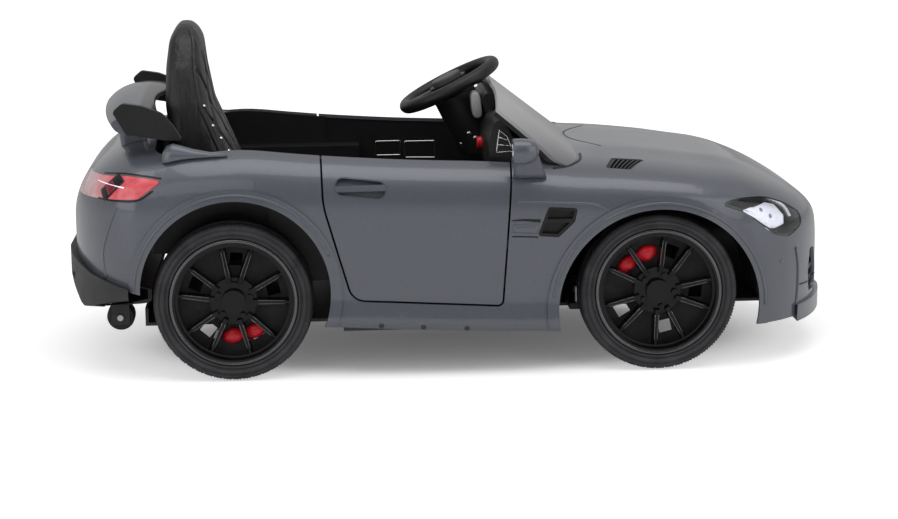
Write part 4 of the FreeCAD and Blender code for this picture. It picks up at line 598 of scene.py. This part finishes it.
# Seat cushion: rear and front, half width, base, sections of height, share and crown, and sewn lines
CUSHION_ENDS = (-249.0, -126.0)
CUSHION_HALF = 106.0
CUSHION_BASE = 165.5
CUSHION_SECTIONS = [(0, 0.93, 0), (3, 0.985, 0), (10, 1.0, 0), (18, 1.0, 0), (26, 0.97, 0), (30.5, 0.90, 5),
                    (32.5, 0.78, 5)]
CUSHION_SWELL = 6.0
CUSHION_HELD_BELOW = CUSHION_BASE + 6.0
SEAM_PITCH = 42.0
SEAM_WIDTH = 6.0
SEAM_DEPTH = 3.2
SEAM_FADE = 22.0
SEAM_FACING = 0.5

# Tyre: points of radius and half width from the inner bead over the tread, its ribs and its tread cuts
TYRE_PROFILE = [(84.2, 23.5), (85.2, 26.0), (87.0, 27.2), (88.0, 25.2), (90.0, 25.2), (90.8, 27.8),
                (94.0, 28.4), (95.0, 27.6), (95.6, 26.0), (97.0, 26.0), (97.6, 27.2), (99.6, 26.6),
                (102.0, 25.2), (103.4, 23.4), (104.0, 20.0), (104.6, 14.0), (103.0, 13.0), (103.0, 11.0),
                (104.9, 10.0), (105.0, 0.0)]
TYRE_RIBS = 150
TYRE_RIB_DEPTH = 2.0
TYRE_RIBBED = (98.0, 19.0)
TREAD_RADIUS = 104.0
TREAD_SPAN = (13.0, 21.0)
TREAD_PITCH = 6

# Rim: rounding, lip as radius and depth from the wheel's middle, and the edges of the paired spokes, along
# which strips of lighter metal paint highlights
RIM_EDGE = 0.8
RIM_EDGE_ANGLE = 40.0
RIM_POINTS = 96
RIM_LIP = [(83.6, 25.2), (83.0, 26.2), (81.6, 26.6), (79.8, 26.0), (78.2, 24.4), (77.2, 22.0), (77.4, 20.0),
           (80.0, 21.0)]
SPOKE_PAIRS = 5
SPOKE_LEAN = 15.5
SPOKE_PHASE = {"front": 139.0, "rear": -58.5}
SPOKE_EDGE = [(32.0, 19.5, 2.4), (45.0, 18.6, 2.2), (60.0, 17.4, 2.0), (74.0, 16.3, 1.9)]
# Width and rise of the painted highlight strips along the spokes
SPOKE_HIGHLIGHT_STRIP = (1.3, 0.7)

# Dummy caliper: angle from the spokes, depth of its base, and angle, radius, half width, rise of each section
CALIPER_LAG = -17.0
CALIPER_BASE = -4.2
CALIPER_SECTIONS = [(-33, 51, 3, 3), (-31, 51, 6, 6), (-26, 50, 9, 8), (-18, 49, 11, 8.6), (-11, 49, 10, 8),
                    (-5, 49, 7, 6), (0, 49, 6, 5.4), (5, 50, 7, 6), (11, 50, 9.5, 8), (18, 51, 10, 8.4),
                    (25, 52, 8.5, 8), (30, 52, 5, 6), (32, 52, 2.5, 3)]

# Shoulder ends beside the seat: x, y, width and height of each section
SHOULDER_END = [(-381, -222, 6, 3), (-379, -222, 18, 13), (-374, -222, 24, 19), (-366, -222, 26, 20),
                (-356, -223, 25, 16), (-340, -225, 22, 10), (-318, -228, 18, 5), (-296, -230, 14, 2)]
SHOULDER_SINK = 1.0
SHOULDER_FLOOR = -0.1

# Mirror: y and z of its centre, half size, sections of x and share, and its foot
MIRROR_CENTRE = (-272.0, 299.0)
MIRROR_HALF = 17.0
MIRROR_SHELL = [(71.5, 0.93), (71.0, 0.97), (73.0, 1.0), (80.0, 1.0), (88.0, 0.97), (95.0, 0.88),
                (100.5, 0.72), (104.0, 0.5), (105.5, 0.25)]
MIRROR_TILT = 3.0
MIRROR_FOOT = [(96.0, -246.0, 262.0), (90.0, -266.0, 292.0)]
FOOT_SHARES = (0.0, 0.2, 0.45, 0.7, 0.9, 1.0)
FOOT_HALF = (22.0, 9.0)
FOOT_NARROWING = (6.0, 2.0)

# Section of a raised strip: share of its half width and of its height
STRIP = [(-1.0, 0.0), (-0.8, 0.75), (-0.35, 1.0), (0.35, 1.0), (0.8, 0.75), (1.0, 0.0)]
STRIP_SINK = 0.3
STRIP_STEP = 3.0

# Headlamp wedge between two lines of x and z, and its projectors
LED_UPPER = [(376, 211), (392, 210), (409, 213), (424, 208), (437, 194)]
LED_LOWER = [(376, 210), (392, 200), (407, 189), (420, 181), (436, 184)]
LED_RISE = 3.0
PROJECTORS = [(402, 206), (415, 197)]
PROJECTOR_PROFILE = [(2.8, -0.5), (2.8, 0.8), (2.2, 1.1), (1.6, 0.6), (0.4, 0.4)]

# Strips on the right-hand side: line of x and z, width, rise, and shares of the width at its ends
FENDER_BLADE = ([(73, 196), (90, 196), (104, 195.5)], 14.0, 2.0, (0.8, 1.0))
BLADE_TOP = ([(71, 207), (88, 207.5), (108, 206)], 5.0, 1.6, (0.3, 1.0))
BLADE_FOOT = ([(71, 186), (88, 185.5), (105, 184.5)], 2.2, 0.8)
LED_ARC = ([(420, 217), (434, 210), (446, 201), (452, 189)], 5.0, LED_RISE, (1.0, 0.5))
TAIL_TOP_LINE = ([(-381, 270), (-404, 273), (-430, 275), (-458, 272)], 3.0, 0.9)
TAIL_LOW_LINE = ([(-392, 255), (-412, 243), (-440, 241), (-466, 241)], 3.0, 0.9)
TAIL_SLASH = ([(-431, 273), (-446, 259), (-460, 245)], 20.0, 0.7)
TAIL_BAR = ([(-443, 262), (-448, 257), (-453, 252)], 17.0, 1.1)
# A glowing white line along the tail lamp: a painted glint
TAIL_GLINT = ([(-466, 262), (-448, 260), (-430, 258)], 2.0, 1.3, (0.6, 1.0))
BUMPER_EDGE = ([(456, 152), (460, 130), (461, 100), (459, 72)], 7.0, 2.4, (0.6, 1.0))
BUMPER_GAP = ([(463, 99), (478, 97), (492, 96), (504, 96)], 3.0, 0.9)
FENDER_CREASE = ([(80, 231), (130, 229), (178, 226), (201, 214)], 3.4, 0.9)
REAR_CREASE = ([(-441, 232), (-452, 205), (-462, 170), (-460, 135)], 6.0, 1.4, (0.5, 1.0))

# Strips on top, in x and y: the hood line from the middle outwards, an end of the screen, width and rise
HOOD_LINE = [(167, 0), (170, 30), (180, 60), (205, 107)]
HOOD_GAP = (3.0, 0.7)
SCREEN_END = [(128, -229), (146, -222), (160, -208), (168, -190), (171, -160)]
SCREEN_SEAL = (4.0, 1.2)

# Inner panels: outline of x and z, and y of both faces
INNER_PANELS = [([(124, 100), (205, 100), (222, 134), (315, 134), (330, 100), (424, 100), (424, 190),
                  (385, 222), (300, 238), (124, 240)], (-91.0, -89.0)),
                ([(46, 210), (92, 210), (92, 256), (58, 256)], (-221.5, -219.0))]

# Arch ridges: centre in x and z, radius, first and last angle, and the strip
ARCH_RIDGES = [((266, 84), 142.0, (172, 0)), ((-290, 117), 132.0, (178, 22))]
ARCH_STEPS = 24
ARCH_RIDGE = (6.0, 1.8, (0.6, 0.6))

# Small fittings: places in x and z, and profiles of radius and height
SENSOR_PLACES = [(432, 139)]
SILL_SCREWS = [(-101, 71), (-46, 68), (11, 65)]
COLUMN_BUTTONS = [(32, 291), (41, 285), (21, 275)]
DOT_PROFILE = [(3.6, -0.6), (3.6, 0.3), (3.0, 0.7), (0.3, 0.9)]
SCREW_PROFILE = [(3.4, -0.6), (3.4, 0.8), (2.4, 1.9), (0.3, 2.2)]

# Instrument pod: centre and half size in x and z, and sections of y and share
POD_CENTRE = (40.0, 335.0)
POD_HALF = (7.0, 18.0)
POD_LEAN = -2.0
POD_SECTIONS = [(-66.0, 0.82), (-65.0, 0.94), (-63.0, 1.0), (-42.0, 1.0), (-40.0, 0.94), (-39.0, 0.82)]

# Outlines of the dashboard vents and the door trim in x and z, and width and rise of their strips
DASH_VENT = [(56, 289), (60, 318), (70, 310), (78, 290)]
VENT_OUTLINE = (1.6, 1.4)
VENT_SLAT = (1.4, 1.2)
VENT_SLAT_SHARES = (0.35, 0.7)
DOOR_PANEL_FACE = 224.0
DOOR_OUTLINES = [[(-90, 228), (-90, 249), (-54, 249), (-54, 228)],
                 [(-47, 224), (-47, 248), (-2, 248), (-2, 223)]]
DOOR_OUTLINE = (2.4, 1.5)

# Where rays start beside and above the car, and the node that most of them meet
SIDE_FAR = 400.0
TOP_FAR = 500.0
SHELL = ("body_shell",)

# Area lamps: place, target, size and power
LAMPS = {
    "overhead": ((0.2, -1.0, 3.1), (0.0, 0.0, 0.2), (3.4, 2.4), 34.0),
    "side": ((-1.2, -3.6, 1.8), (0.0, 0.0, 0.2), (2.2, 1.6), 8.0),
    "front": ((2.6, -2.0, 1.2), (0.4, -0.1, 0.2), (2.6, 2.2), 22.0),
    "rear": ((-2.6, -1.7, 0.9), (-0.45, -0.15, 0.2), (2.4, 1.6), 16.0),
}


def clamp(value):
    return max(0.0, min(1.0, value))


def between(levels, height):
    """Values of a level table at a height, in straight runs."""
    for low, high in zip(levels[:-1], levels[1:]):
        if height <= high[0]:
            share = (height - low[0]) / (high[0] - low[0])
            return [a + (b - a) * share for a, b in zip(low[1:], high[1:])]
    return list(levels[-1][1:])


def squared(count, power):
    """Points around a squared-off unit circle."""
    ring = []
    for k in range(count):
        c, s = math.cos(2 * math.pi * k / count), math.sin(2 * math.pi * k / count)
        ring.append((math.copysign(abs(c) ** power, c), math.copysign(abs(s) ** power, s)))
    return ring


def seat_back_form():
    loops = []
    for height in SEAT_HEIGHTS:
        rear, front, half = between(SEAT_LEVELS, height)
        loop = []
        for along, across in squared(*SEAT_RING):
            x = (rear + front) / 2 + along * (front - rear) / 2
            if along > 0:
                x += SEAT_CROWN * half / SEAT_CROWN_HALF * (1 - across * across) * along
            loop.append((x, across * half, height))
        loops.append(loop)
    return skin_loops(loops)


def tuft_places():
    """Side place and height of each sewn button."""
    places = []
    for row in range(TUFT_ROWS):
        height = TUFT_START + row * TUFT_RISE
        half = between(SEAT_LEVELS, height)[2]
        for column in range(-TUFT_COLUMNS, TUFT_COLUMNS + 1):
            y = (column + 0.5 * (row % 2)) * TUFT_PITCH
            if abs(y) < half - TUFT_MARGIN:
                places.append((y, height))
    return places


def pleat(y, z):
    """How deep the tufting pulls in at a place of the seat front, 1 at a button and 0 on a swelling."""
    first = y / TUFT_PITCH + (z - TUFT_START) / (2 * TUFT_RISE)
    second = y / TUFT_PITCH - (z - TUFT_START) / (2 * TUFT_RISE)
    lines = [abs(value - round(value)) for value in (first, second)]
    fold = max(0.0, 1 - min(lines) / FOLD_REACH)
    button = max(0.0, 1 - math.hypot(*lines) / BUTTON_REACH)
    return FOLD_SHARE * fold * fold + BUTTON_SHARE * button


def make_seat_back():
    """Tufted seat back, swollen as cloth between its sewn folds."""
    mesh = new_mesh("seat_back_leather", *seat_back_form())
    piece = add_piece("seat_back_leather", mesh, "leather", "chassis")

    def held(place, normal):
        if place.z < SEAT_HELD_BELOW or normal.x < REAR_FACING:
            return 1.0
        if normal.x > FRONT_FACING:
            return min(1.0, PLEAT_HOLD * pleat(place.y, place.z))
        return 0.0

    mesh = stuff(piece, held, SEAT_SWELL)
    for point in mesh.vertices:
        y, z = point.co.y / MM, point.co.z / MM
        half = between(SEAT_LEVELS, z)[2]
        edge = clamp((half - TUFT_SIDE_EDGE - abs(y)) / TUFT_SIDE_FADE)
        edge *= clamp((TUFT_TOP - z) / TUFT_TOP_FADE)
        if point.normal.x > TUFT_FACING:
            point.co.x -= TUFT_DEPTH * MM * edge * pleat(y, z)
    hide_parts("seat_back")
    return piece


def make_seat_studs(seat):
    """Bright studs in the tufts and along the edges of the seat back."""
    rays = [((0.0, y, z), (-1.0, 0.0, 0.0)) for y, z in tuft_places()]
    rays += [((x, side * SIDE_FAR, z), (0.0, -side, 0.0)) for x, z in SIDE_STUDS for side in (-1, 1)]
    parts = []
    for start, way in rays:
        found, place, normal, index = seat.ray_cast(Vector(start) * MM, Vector(way))
        if found:
            parts.append(turned(place / MM, normal, STUD_PROFILE, STUD_POINTS))
    add_trim("seat_studs", joined(parts), "chrome")


def make_seat_piping(seat):
    """Sewn welt around the tufted front, up one side, over the top and down the other."""
    path = []
    for side in (-1, 1):
        run = []
        for height in PIPING_HEIGHTS:
            front, half = between(SEAT_LEVELS, height)[1:]
            corner = Vector((front - PIPING_BEHIND, side * (half + PIPING_OUTSIDE), height))
            found, place, normal, index = seat.closest_point_on_mesh(corner * MM)
            run.append(place / MM + normal * PIPING_LIFT)
        path += run if side < 0 else run[::-1]
    curve = bpy.data.curves.new("seat_piping", "CURVE")
    curve.dimensions = "3D"
    curve.bevel_depth = PIPING_RADIUS * MM
    curve.bevel_resolution = 3
    spline = curve.splines.new("POLY")
    spline.points.add(len(path) - 1)
    for point, place in zip(spline.points, path):
        point.co = (*(place * MM), 1.0)
    add_piece("seat_piping", curve, "leather_welt", "chassis")


def make_cushion():
    """Seat cushion, swollen as cloth, with sewn lines from the rear to the front."""
    rear, front = CUSHION_ENDS
    middle, reach = (rear + front) / 2, (front - rear) / 2
    loops = []
    for height, share, crown in CUSHION_SECTIONS:
        loops.append([(middle + along * reach * share, across * CUSHION_HALF * share,
                       CUSHION_BASE + height + crown * (1 - across * across))
                      for along, across in squared(*CUSHION_RING)])
    mesh = new_mesh("seat_cushion_leather", *skin_loops(loops))
    piece = add_piece("seat_cushion_leather", mesh, "leather", "chassis")
    mesh = stuff(piece, lambda place, normal: 1.0 if place.z < CUSHION_HELD_BELOW else 0.0, CUSHION_SWELL)
    for point in mesh.vertices:
        if point.normal.z > SEAM_FACING:
            across = point.co.y / MM / SEAM_PITCH
            line = abs(across - round(across)) * SEAM_PITCH
            inside = clamp((reach - abs(point.co.x / MM - middle)) / SEAM_FADE)
            point.co.z -= SEAM_DEPTH * MM * inside * max(0.0, 1 - line / SEAM_WIDTH) ** 2
    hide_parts("seat_cushion")


def make_tyre(wheel, place):
    """Tyre with stepped side walls, a finely ribbed shoulder and cuts in its tread."""
    x, y = place
    steps = 2 * TYRE_RIBS
    loops = []
    for radius, width in TYRE_PROFILE + [(radius, -width) for radius, width in TYRE_PROFILE[-2::-1]]:
        ribbed = radius > TYRE_RIBBED[0] and abs(width) > TYRE_RIBBED[1]
        tread = radius > TREAD_RADIUS and TREAD_SPAN[0] < abs(width) < TREAD_SPAN[1]
        loop = []
        for k in range(steps):
            angle = 2 * math.pi * k / steps
            cut = (ribbed and k % 2) or (tread and k % TREAD_PITCH < 2)
            size = radius - TYRE_RIB_DEPTH if cut else radius
            loop.append((x + size * math.cos(angle), y + width, AXLE_HEIGHT + size * math.sin(angle)))
        loops.append(loop)
    name = "tread_" + wheel
    piece = add_piece(name, new_mesh(name, *closed_skin(loops)), "tyre", "wheel_" + wheel)
    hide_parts("tyre_" + wheel)


def make_rim_trim(wheel, place):
    """Rounded lip around the rim and strips along the edges of its spokes, in grey metal lighter than the
    black rim: a painted sheen on the real lip, painted highlights on the spokes.
    """
    x, y = place
    side = math.copysign(1.0, y)
    centre = Vector((x, y, AXLE_HEIGHT))
    turns = [2 * math.pi * k / RIM_POINTS for k in range(RIM_POINTS)]
    loops = []
    for radius, depth in RIM_LIP:
        loops.append([centre + Vector((radius * math.cos(turn), side * depth, radius * math.sin(turn)))
                      for turn in turns])
    parts = [closed_skin(loops)]
    front = Vector((0, side, 0))
    for k in range(SPOKE_PAIRS):
        for lean in (-SPOKE_LEAN, SPOKE_LEAN):
            turn = math.radians(SPOKE_PHASE[wheel.split("_")[0]] + 360 * k / SPOKE_PAIRS + lean)
            out = Vector((math.cos(turn), 0, math.sin(turn)))
            across = Vector((-math.sin(turn), 0, math.cos(turn)))
            # Painted highlights: lighter strips along both edges of each spoke
            for edge in (-1, 1):
                spine = [(centre + out * radius + front * depth + across * edge * half, front)
                         for radius, depth, half in SPOKE_EDGE]
                parts.append(strip(spine, *SPOKE_HIGHLIGHT_STRIP))
    add_trim("rim_lip_and_highlights_" + wheel, joined(parts), "lip", "wheel_" + wheel)


def make_caliper(wheel, place):
    """Dummy brake caliper: two lobes joined by a neck, on the brake plate."""
    x, y = place
    centre, front = Vector((x, y, AXLE_HEIGHT)), Vector((0, math.copysign(1.0, y), 0))
    loops = []
    for lean, radius, half, rise in CALIPER_SECTIONS:
        turn = math.radians(SPOKE_PHASE[wheel.split("_")[0]] + CALIPER_LAG + lean)
        out = Vector((math.cos(turn), 0, math.sin(turn)))
        loops.append([centre + out * (radius + half * across) + front * (CALIPER_BASE + rise * max(0.0, up))
                      for across, up in squared(*CALIPER_RING)])
    piece = add_trim("caliper_lobes_" + wheel, skin_loops(loops), "red", "wheel_" + wheel)
    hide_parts("caliper_" + wheel)


def flow(points):
    """Smooth line through points, sampled about every STRIP_STEP."""
    points = [Vector(point) for point in points]
    padded = [2 * points[0] - points[1]] + points + [2 * points[-1] - points[-2]]
    line = []
    for a, b, c, d in zip(padded, padded[1:], padded[2:], padded[3:]):
        count = max(1, round((c - b).length / STRIP_STEP))
        for k in range(count):
            t = k / count
            bend = (2 * a - 5 * b + 4 * c - d) * t * t + (3 * b - a - 3 * c + d) * t ** 3
            line.append((2 * b + (c - a) * t + bend) / 2)
    return line + [points[-1]]


def cast(names, start, way):
    """First place that a ray in millimetres meets on some CAD nodes, and the normal there."""
    start, way = Vector(start), Vector(way).normalized()
    hits = []
    for name in names:
        found, place, normal, index = NODES[name].ray_cast(start * MM, way)
        if found:
            hits.append((place / MM, normal if normal.dot(way) < 0 else -normal))
    return min(hits, key=lambda hit: (hit[0] - start).dot(way)) if hits else None


def from_side(names, x, z):
    """Place and normal seen from the right-hand side."""
    return cast(names, (x, -SIDE_FAR, z), (0, 1, 0))


def from_top(x, y):
    """Place and normal on the shell, seen from above."""
    return cast(SHELL, (x, y, TOP_FAR), (0, 0, -1))


def on_plane(y, way, corners):
    """Closed straight-sided line on an upright plane, through corners of x and z."""
    spine = []
    for first, last in zip(corners, corners[1:] + corners[:1]):
        first, last = Vector(first), Vector(last)
        count = max(2, round((last - first).length / STRIP_STEP))
        for k in range(count):
            x, z = first + (last - first) * k / count
            spine.append((Vector((x, y, z)), Vector((0, way, 0))))
    return spine


def strip(spine, width, rise, taper=(1.0, 1.0), closed=False):
    """Low rounded strip along places with normals, its edges just under the surface."""
    rows = []
    count = len(spine)
    for k, (place, normal) in enumerate(spine):
        after = spine[(k + 1) % count if closed else min(k + 1, count - 1)][0]
        before = spine[k - 1 if closed else max(k - 1, 0)][0]
        side = (after - before).cross(normal).normalized()
        half = width / 2 * (taper[0] + (taper[1] - taper[0]) * k / (count - 1))
        rows.append([place + side * half * across + normal * (rise * up - STRIP_SINK)
                     for across, up in STRIP])
    return closed_skin(rows) if closed else skin_loops(rows)


def side_strip(names, path, width, rise, taper=(1.0, 1.0)):
    """Strip along a smooth line over the right-hand side, through points of x and z."""
    hits = [from_side(names, x, z) for x, z in flow(path)]
    return strip([hit for hit in hits if hit], width, rise, taper)


def top_strip(path, width, rise):
    """Strip along a smooth line over the top, through points of x and y."""
    hits = [from_top(x, y) for x, y in flow(path)]
    return strip([hit for hit in hits if hit], width, rise)


def evenly(points, count):
    """Places along straight runs between points, evenly spread from the first to the last."""
    places = []
    for k in range(count):
        share = k * (len(points) - 1) / (count - 1)
        first = min(int(share), len(points) - 2)
        places.append(Vector(points[first]).lerp(Vector(points[first + 1]), share - first))
    return places


def panel(names, upper, lower, rise, rows=6, count=24):
    """Raised patch on the right-hand side between an upper and a lower line of x and z."""
    loops = []
    for above, below in zip(evenly(upper, count), evenly(lower, count)):
        across = [above.lerp(below, k / rows) for k in range(rows + 1)]
        hits = [from_side(names, x, z) for x, z in across]
        if all(hits):
            face = [place + normal * rise for place, normal in hits]
            loops.append(face + [place - normal * STRIP_SINK for place, normal in hits[::-1]])
    return skin_loops(loops)


def turned(centre, axis, profile, count=24):
    """Turned form: pairs of radius and height along an axis."""
    axis = Vector(axis).normalized()
    across = axis.orthogonal().normalized()
    other = axis.cross(across)
    turns = [2 * math.pi * k / count for k in range(count)]
    loops = []
    for radius, height in profile:
        loops.append([centre + axis * height + (across * math.cos(turn) + other * math.sin(turn)) * radius
                      for turn in turns])
    return skin_loops(loops)


def joined(parts):
    """Points and faces of several forms as one."""
    points, faces = [], []
    for more, shapes in parts:
        base = len(points)
        points += [tuple(point) for point in more]
        faces += [tuple(base + k for k in shape) for shape in shapes]
    return points, faces


def flipped(form):
    """Left-hand copy of a form."""
    points, faces = form
    return [(x, -y, z) for x, y, z in points], faces


def add_trim(name, form, material, body="chassis"):
    return add_piece(name, new_mesh(name, *form), material, body)


def add_pair(name, parts, material):
    """Trim on the right-hand side and its copy on the left, as one piece."""
    form = joined(parts)
    return add_trim(name, joined([form, flipped(form)]), material)


def make_fender_trim():
    """Blade between the door and the fender vent, with its dark edges."""
    add_pair("fender_blades", [side_strip(SHELL, *FENDER_BLADE)], "paint")
    edges = [side_strip(SHELL, *line) for line in (BLADE_TOP, BLADE_FOOT)]
    add_pair("fender_blade_edges", edges, "gloss")


def make_headlamp_parts():
    """Lit wedge with two projectors, and a light band over it, inside the headlamp."""
    unit = ("headlamp_units",)
    wedge = panel(unit, LED_UPPER, LED_LOWER, LED_RISE)
    add_pair("headlamp_leds", [wedge], "lamp_and_glint")
    rings = []
    for x, z in PROJECTORS:
        place, normal = from_side(unit, x, z)
        rings.append(turned(place + normal * LED_RISE, normal, PROJECTOR_PROFILE))
    add_pair("headlamp_projectors", rings, "steel")
    add_pair("headlamp_arcs", [side_strip(unit, *LED_ARC)], "lamp_and_glint")


def make_tail_trim():
    """Dark outline, a slanted dark band with a garnet bar, and a glowing white line on the tail lamp, a
    painted glint.
    """
    lamp = ("tail_lamps",)
    dark = [side_strip(SHELL + lamp, *line) for line in (TAIL_TOP_LINE, TAIL_LOW_LINE)]
    dark.append(side_strip(lamp, *TAIL_SLASH))
    add_pair("tail_lamp_lines", dark, "gloss")
    add_pair("tail_lamp_bars", [side_strip(lamp, *TAIL_BAR)], "garnet")
    # Painted glint: a thin glowing white strip across the lens
    add_pair("tail_lamp_glints", [side_strip(lamp, *TAIL_GLINT)], "lamp_and_glint")


def make_top_lines():
    """Dark gap along the rear edge of the hood, and seals around the lower ends of the windscreen."""
    near = [(x, -y) for x, y in HOOD_LINE]
    add_trim("hood_gap", top_strip(near[::-1] + HOOD_LINE[1:], *HOOD_GAP), "black")
    add_pair("screen_seals", [top_strip(SCREEN_END, *SCREEN_SEAL)], "black")


def make_bumper_edges():
    """Corner edge and lower gap of the front bumper, and the creases over the fender vent and at the rear."""
    edges = [side_strip(SHELL, *line) for line in (BUMPER_EDGE, FENDER_CREASE, REAR_CREASE)]
    add_pair("body_edges", edges, "paint")
    add_pair("bumper_gaps", [side_strip(SHELL, *BUMPER_GAP)], "black")


def make_shoulder_ends():
    """Rounded ends of the shoulders beside the seat back."""
    loops = []
    for x, y, width, height in SHOULDER_END:
        base = from_top(x, y)[0].z - SHOULDER_SINK
        loops.append([(x, y + across * width / 2, base + max(SHOULDER_FLOOR, up) * height)
                      for across, up in squared(*SHOULDER_RING)])
    add_pair("shoulder_ends", [skin_loops(loops)], "paint")


def make_mirrors():
    """Rounded mirror housings on wedge-shaped feet that stand on the shoulders."""
    middle, level = MIRROR_CENTRE
    housing = []
    for x, share in MIRROR_SHELL:
        housing.append([(x, middle + across * MIRROR_HALF * share,
                         level + up * MIRROR_HALF * share + (1 - share) * MIRROR_TILT)
                        for across, up in squared(*MIRROR_RING)])
    foot = []
    for share in FOOT_SHARES:
        centre = Vector(MIRROR_FOOT[0]).lerp(Vector(MIRROR_FOOT[1]), share)
        length, depth = (size - less * share for size, less in zip(FOOT_HALF, FOOT_NARROWING))
        foot.append([centre + Vector((length * along, depth * across, 0.0))
                     for along, across in squared(*FOOT_RING)])
    piece = add_pair("mirror_shells", [skin_loops(housing), skin_loops(foot)], "paint")
    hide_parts("mirror_housings")


def make_inner_panels():
    """Inner walls of the front wheel wells, and fillets between the dashboard and the doors."""
    walls = []
    for outline, faces in INNER_PANELS:
        walls.append(skin_loops([[(x, y, z) for x, z in outline] for y in faces]))
    add_pair("inner_panels", walls, "black")


def make_arch_ridges():
    """Rounded ridge along each wheel-arch lip."""
    parts = []
    for (x, z), radius, (first, last) in ARCH_RIDGES:
        turns = [math.radians(first + (last - first) * k / ARCH_STEPS) for k in range(ARCH_STEPS + 1)]
        path = [(x + radius * math.cos(turn), z + radius * math.sin(turn)) for turn in turns]
        parts.append(side_strip(SHELL + ("arch_lips",), path, *ARCH_RIDGE))
    add_pair("arch_ridges", parts, "paint")


def add_fittings(name, names, places, profile, material):
    """Turned forms on both sides, at places of x and z."""
    hits = [from_side(names, x, z) for x, z in places]
    add_pair(name, [turned(*hit, profile) for hit in hits if hit], material)


def make_small_fittings():
    """Parking sensors, sill screws and buttons on the column."""
    add_fittings("parking_sensors", SHELL, SENSOR_PLACES, DOT_PROFILE, "paint")
    add_fittings("sill_screws", SHELL, SILL_SCREWS, SCREW_PROFILE, "charcoal")
    add_fittings("column_buttons", ("steering_column",), COLUMN_BUTTONS, DOT_PROFILE, "chrome")


def make_dash_trim():
    """Bright outlines and slats of the air vents at the ends of the dashboard."""
    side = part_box("dashboard")[0][1] / MM
    parts = [strip(on_plane(side, -1, DASH_VENT), *VENT_OUTLINE, closed=True)]
    low, high, high_end, low_end = (Vector(corner) for corner in DASH_VENT)
    for share in VENT_SLAT_SHARES:
        first, last = low + (high - low) * share, low_end + (high_end - low_end) * share
        spine = [(Vector((x, side, z)), Vector((0, -1, 0))) for x, z in (first, (first + last) / 2, last)]
        parts.append(strip(spine, *VENT_SLAT))
    add_pair("dash_vent_outlines", parts, "chrome")


def make_instrument_pod():
    """Upright grey pod beside the steering column, lighter towards its top as a painted sheen."""
    loops = []
    for y, share in POD_SECTIONS:
        loops.append([(POD_CENTRE[0] + POD_HALF[0] * share * along + POD_LEAN * up, y,
                       POD_CENTRE[1] + POD_HALF[1] * share * up)
                      for along, up in squared(*POD_RING)])
    add_trim("instrument_pod", skin_loops(loops), "screen")


def make_door_trim():
    """Bright trapezoid outlines on the inner door panels."""
    outlines = []
    for corners in DOOR_OUTLINES:
        outlines.append(strip(on_plane(-DOOR_PANEL_FACE, 1, corners), *DOOR_OUTLINE, closed=True))
    form = joined(outlines)
    add_trim("door_bright_trim_right", form, "chrome", "door_right")
    add_trim("door_bright_trim_left", flipped(form), "chrome", "door_left")


def soften_rims():
    """Rounded edges on the moulded rims, so that they catch the light."""
    for wheel in WHEELS:
        bevel = NODES["rim_" + wheel].modifiers.new("edges", "BEVEL")
        bevel.width = RIM_EDGE * MM
        bevel.segments = 2
        bevel.limit_method = "ANGLE"
        bevel.angle_limit = math.radians(RIM_EDGE_ANGLE)


dress_nodes()
soften_rims()
add_camera()
seat = make_seat_back()
make_seat_studs(seat)
make_seat_piping(seat)
make_cushion()
for wheel, place in WHEELS.items():
    make_tyre(wheel, place)
    make_rim_trim(wheel, place)
    make_caliper(wheel, place)
make_fender_trim()
make_headlamp_parts()
make_tail_trim()
make_top_lines()
make_inner_panels()
make_arch_ridges()
make_bumper_edges()
make_shoulder_ends()
make_mirrors()
make_small_fittings()
make_dash_trim()
make_instrument_pod()
make_door_trim()
add_world()
for name, lamp in LAMPS.items():
    add_lamp(name, *lamp)
add_floor()
bpy.context.scene.view_settings.view_transform = "Standard"
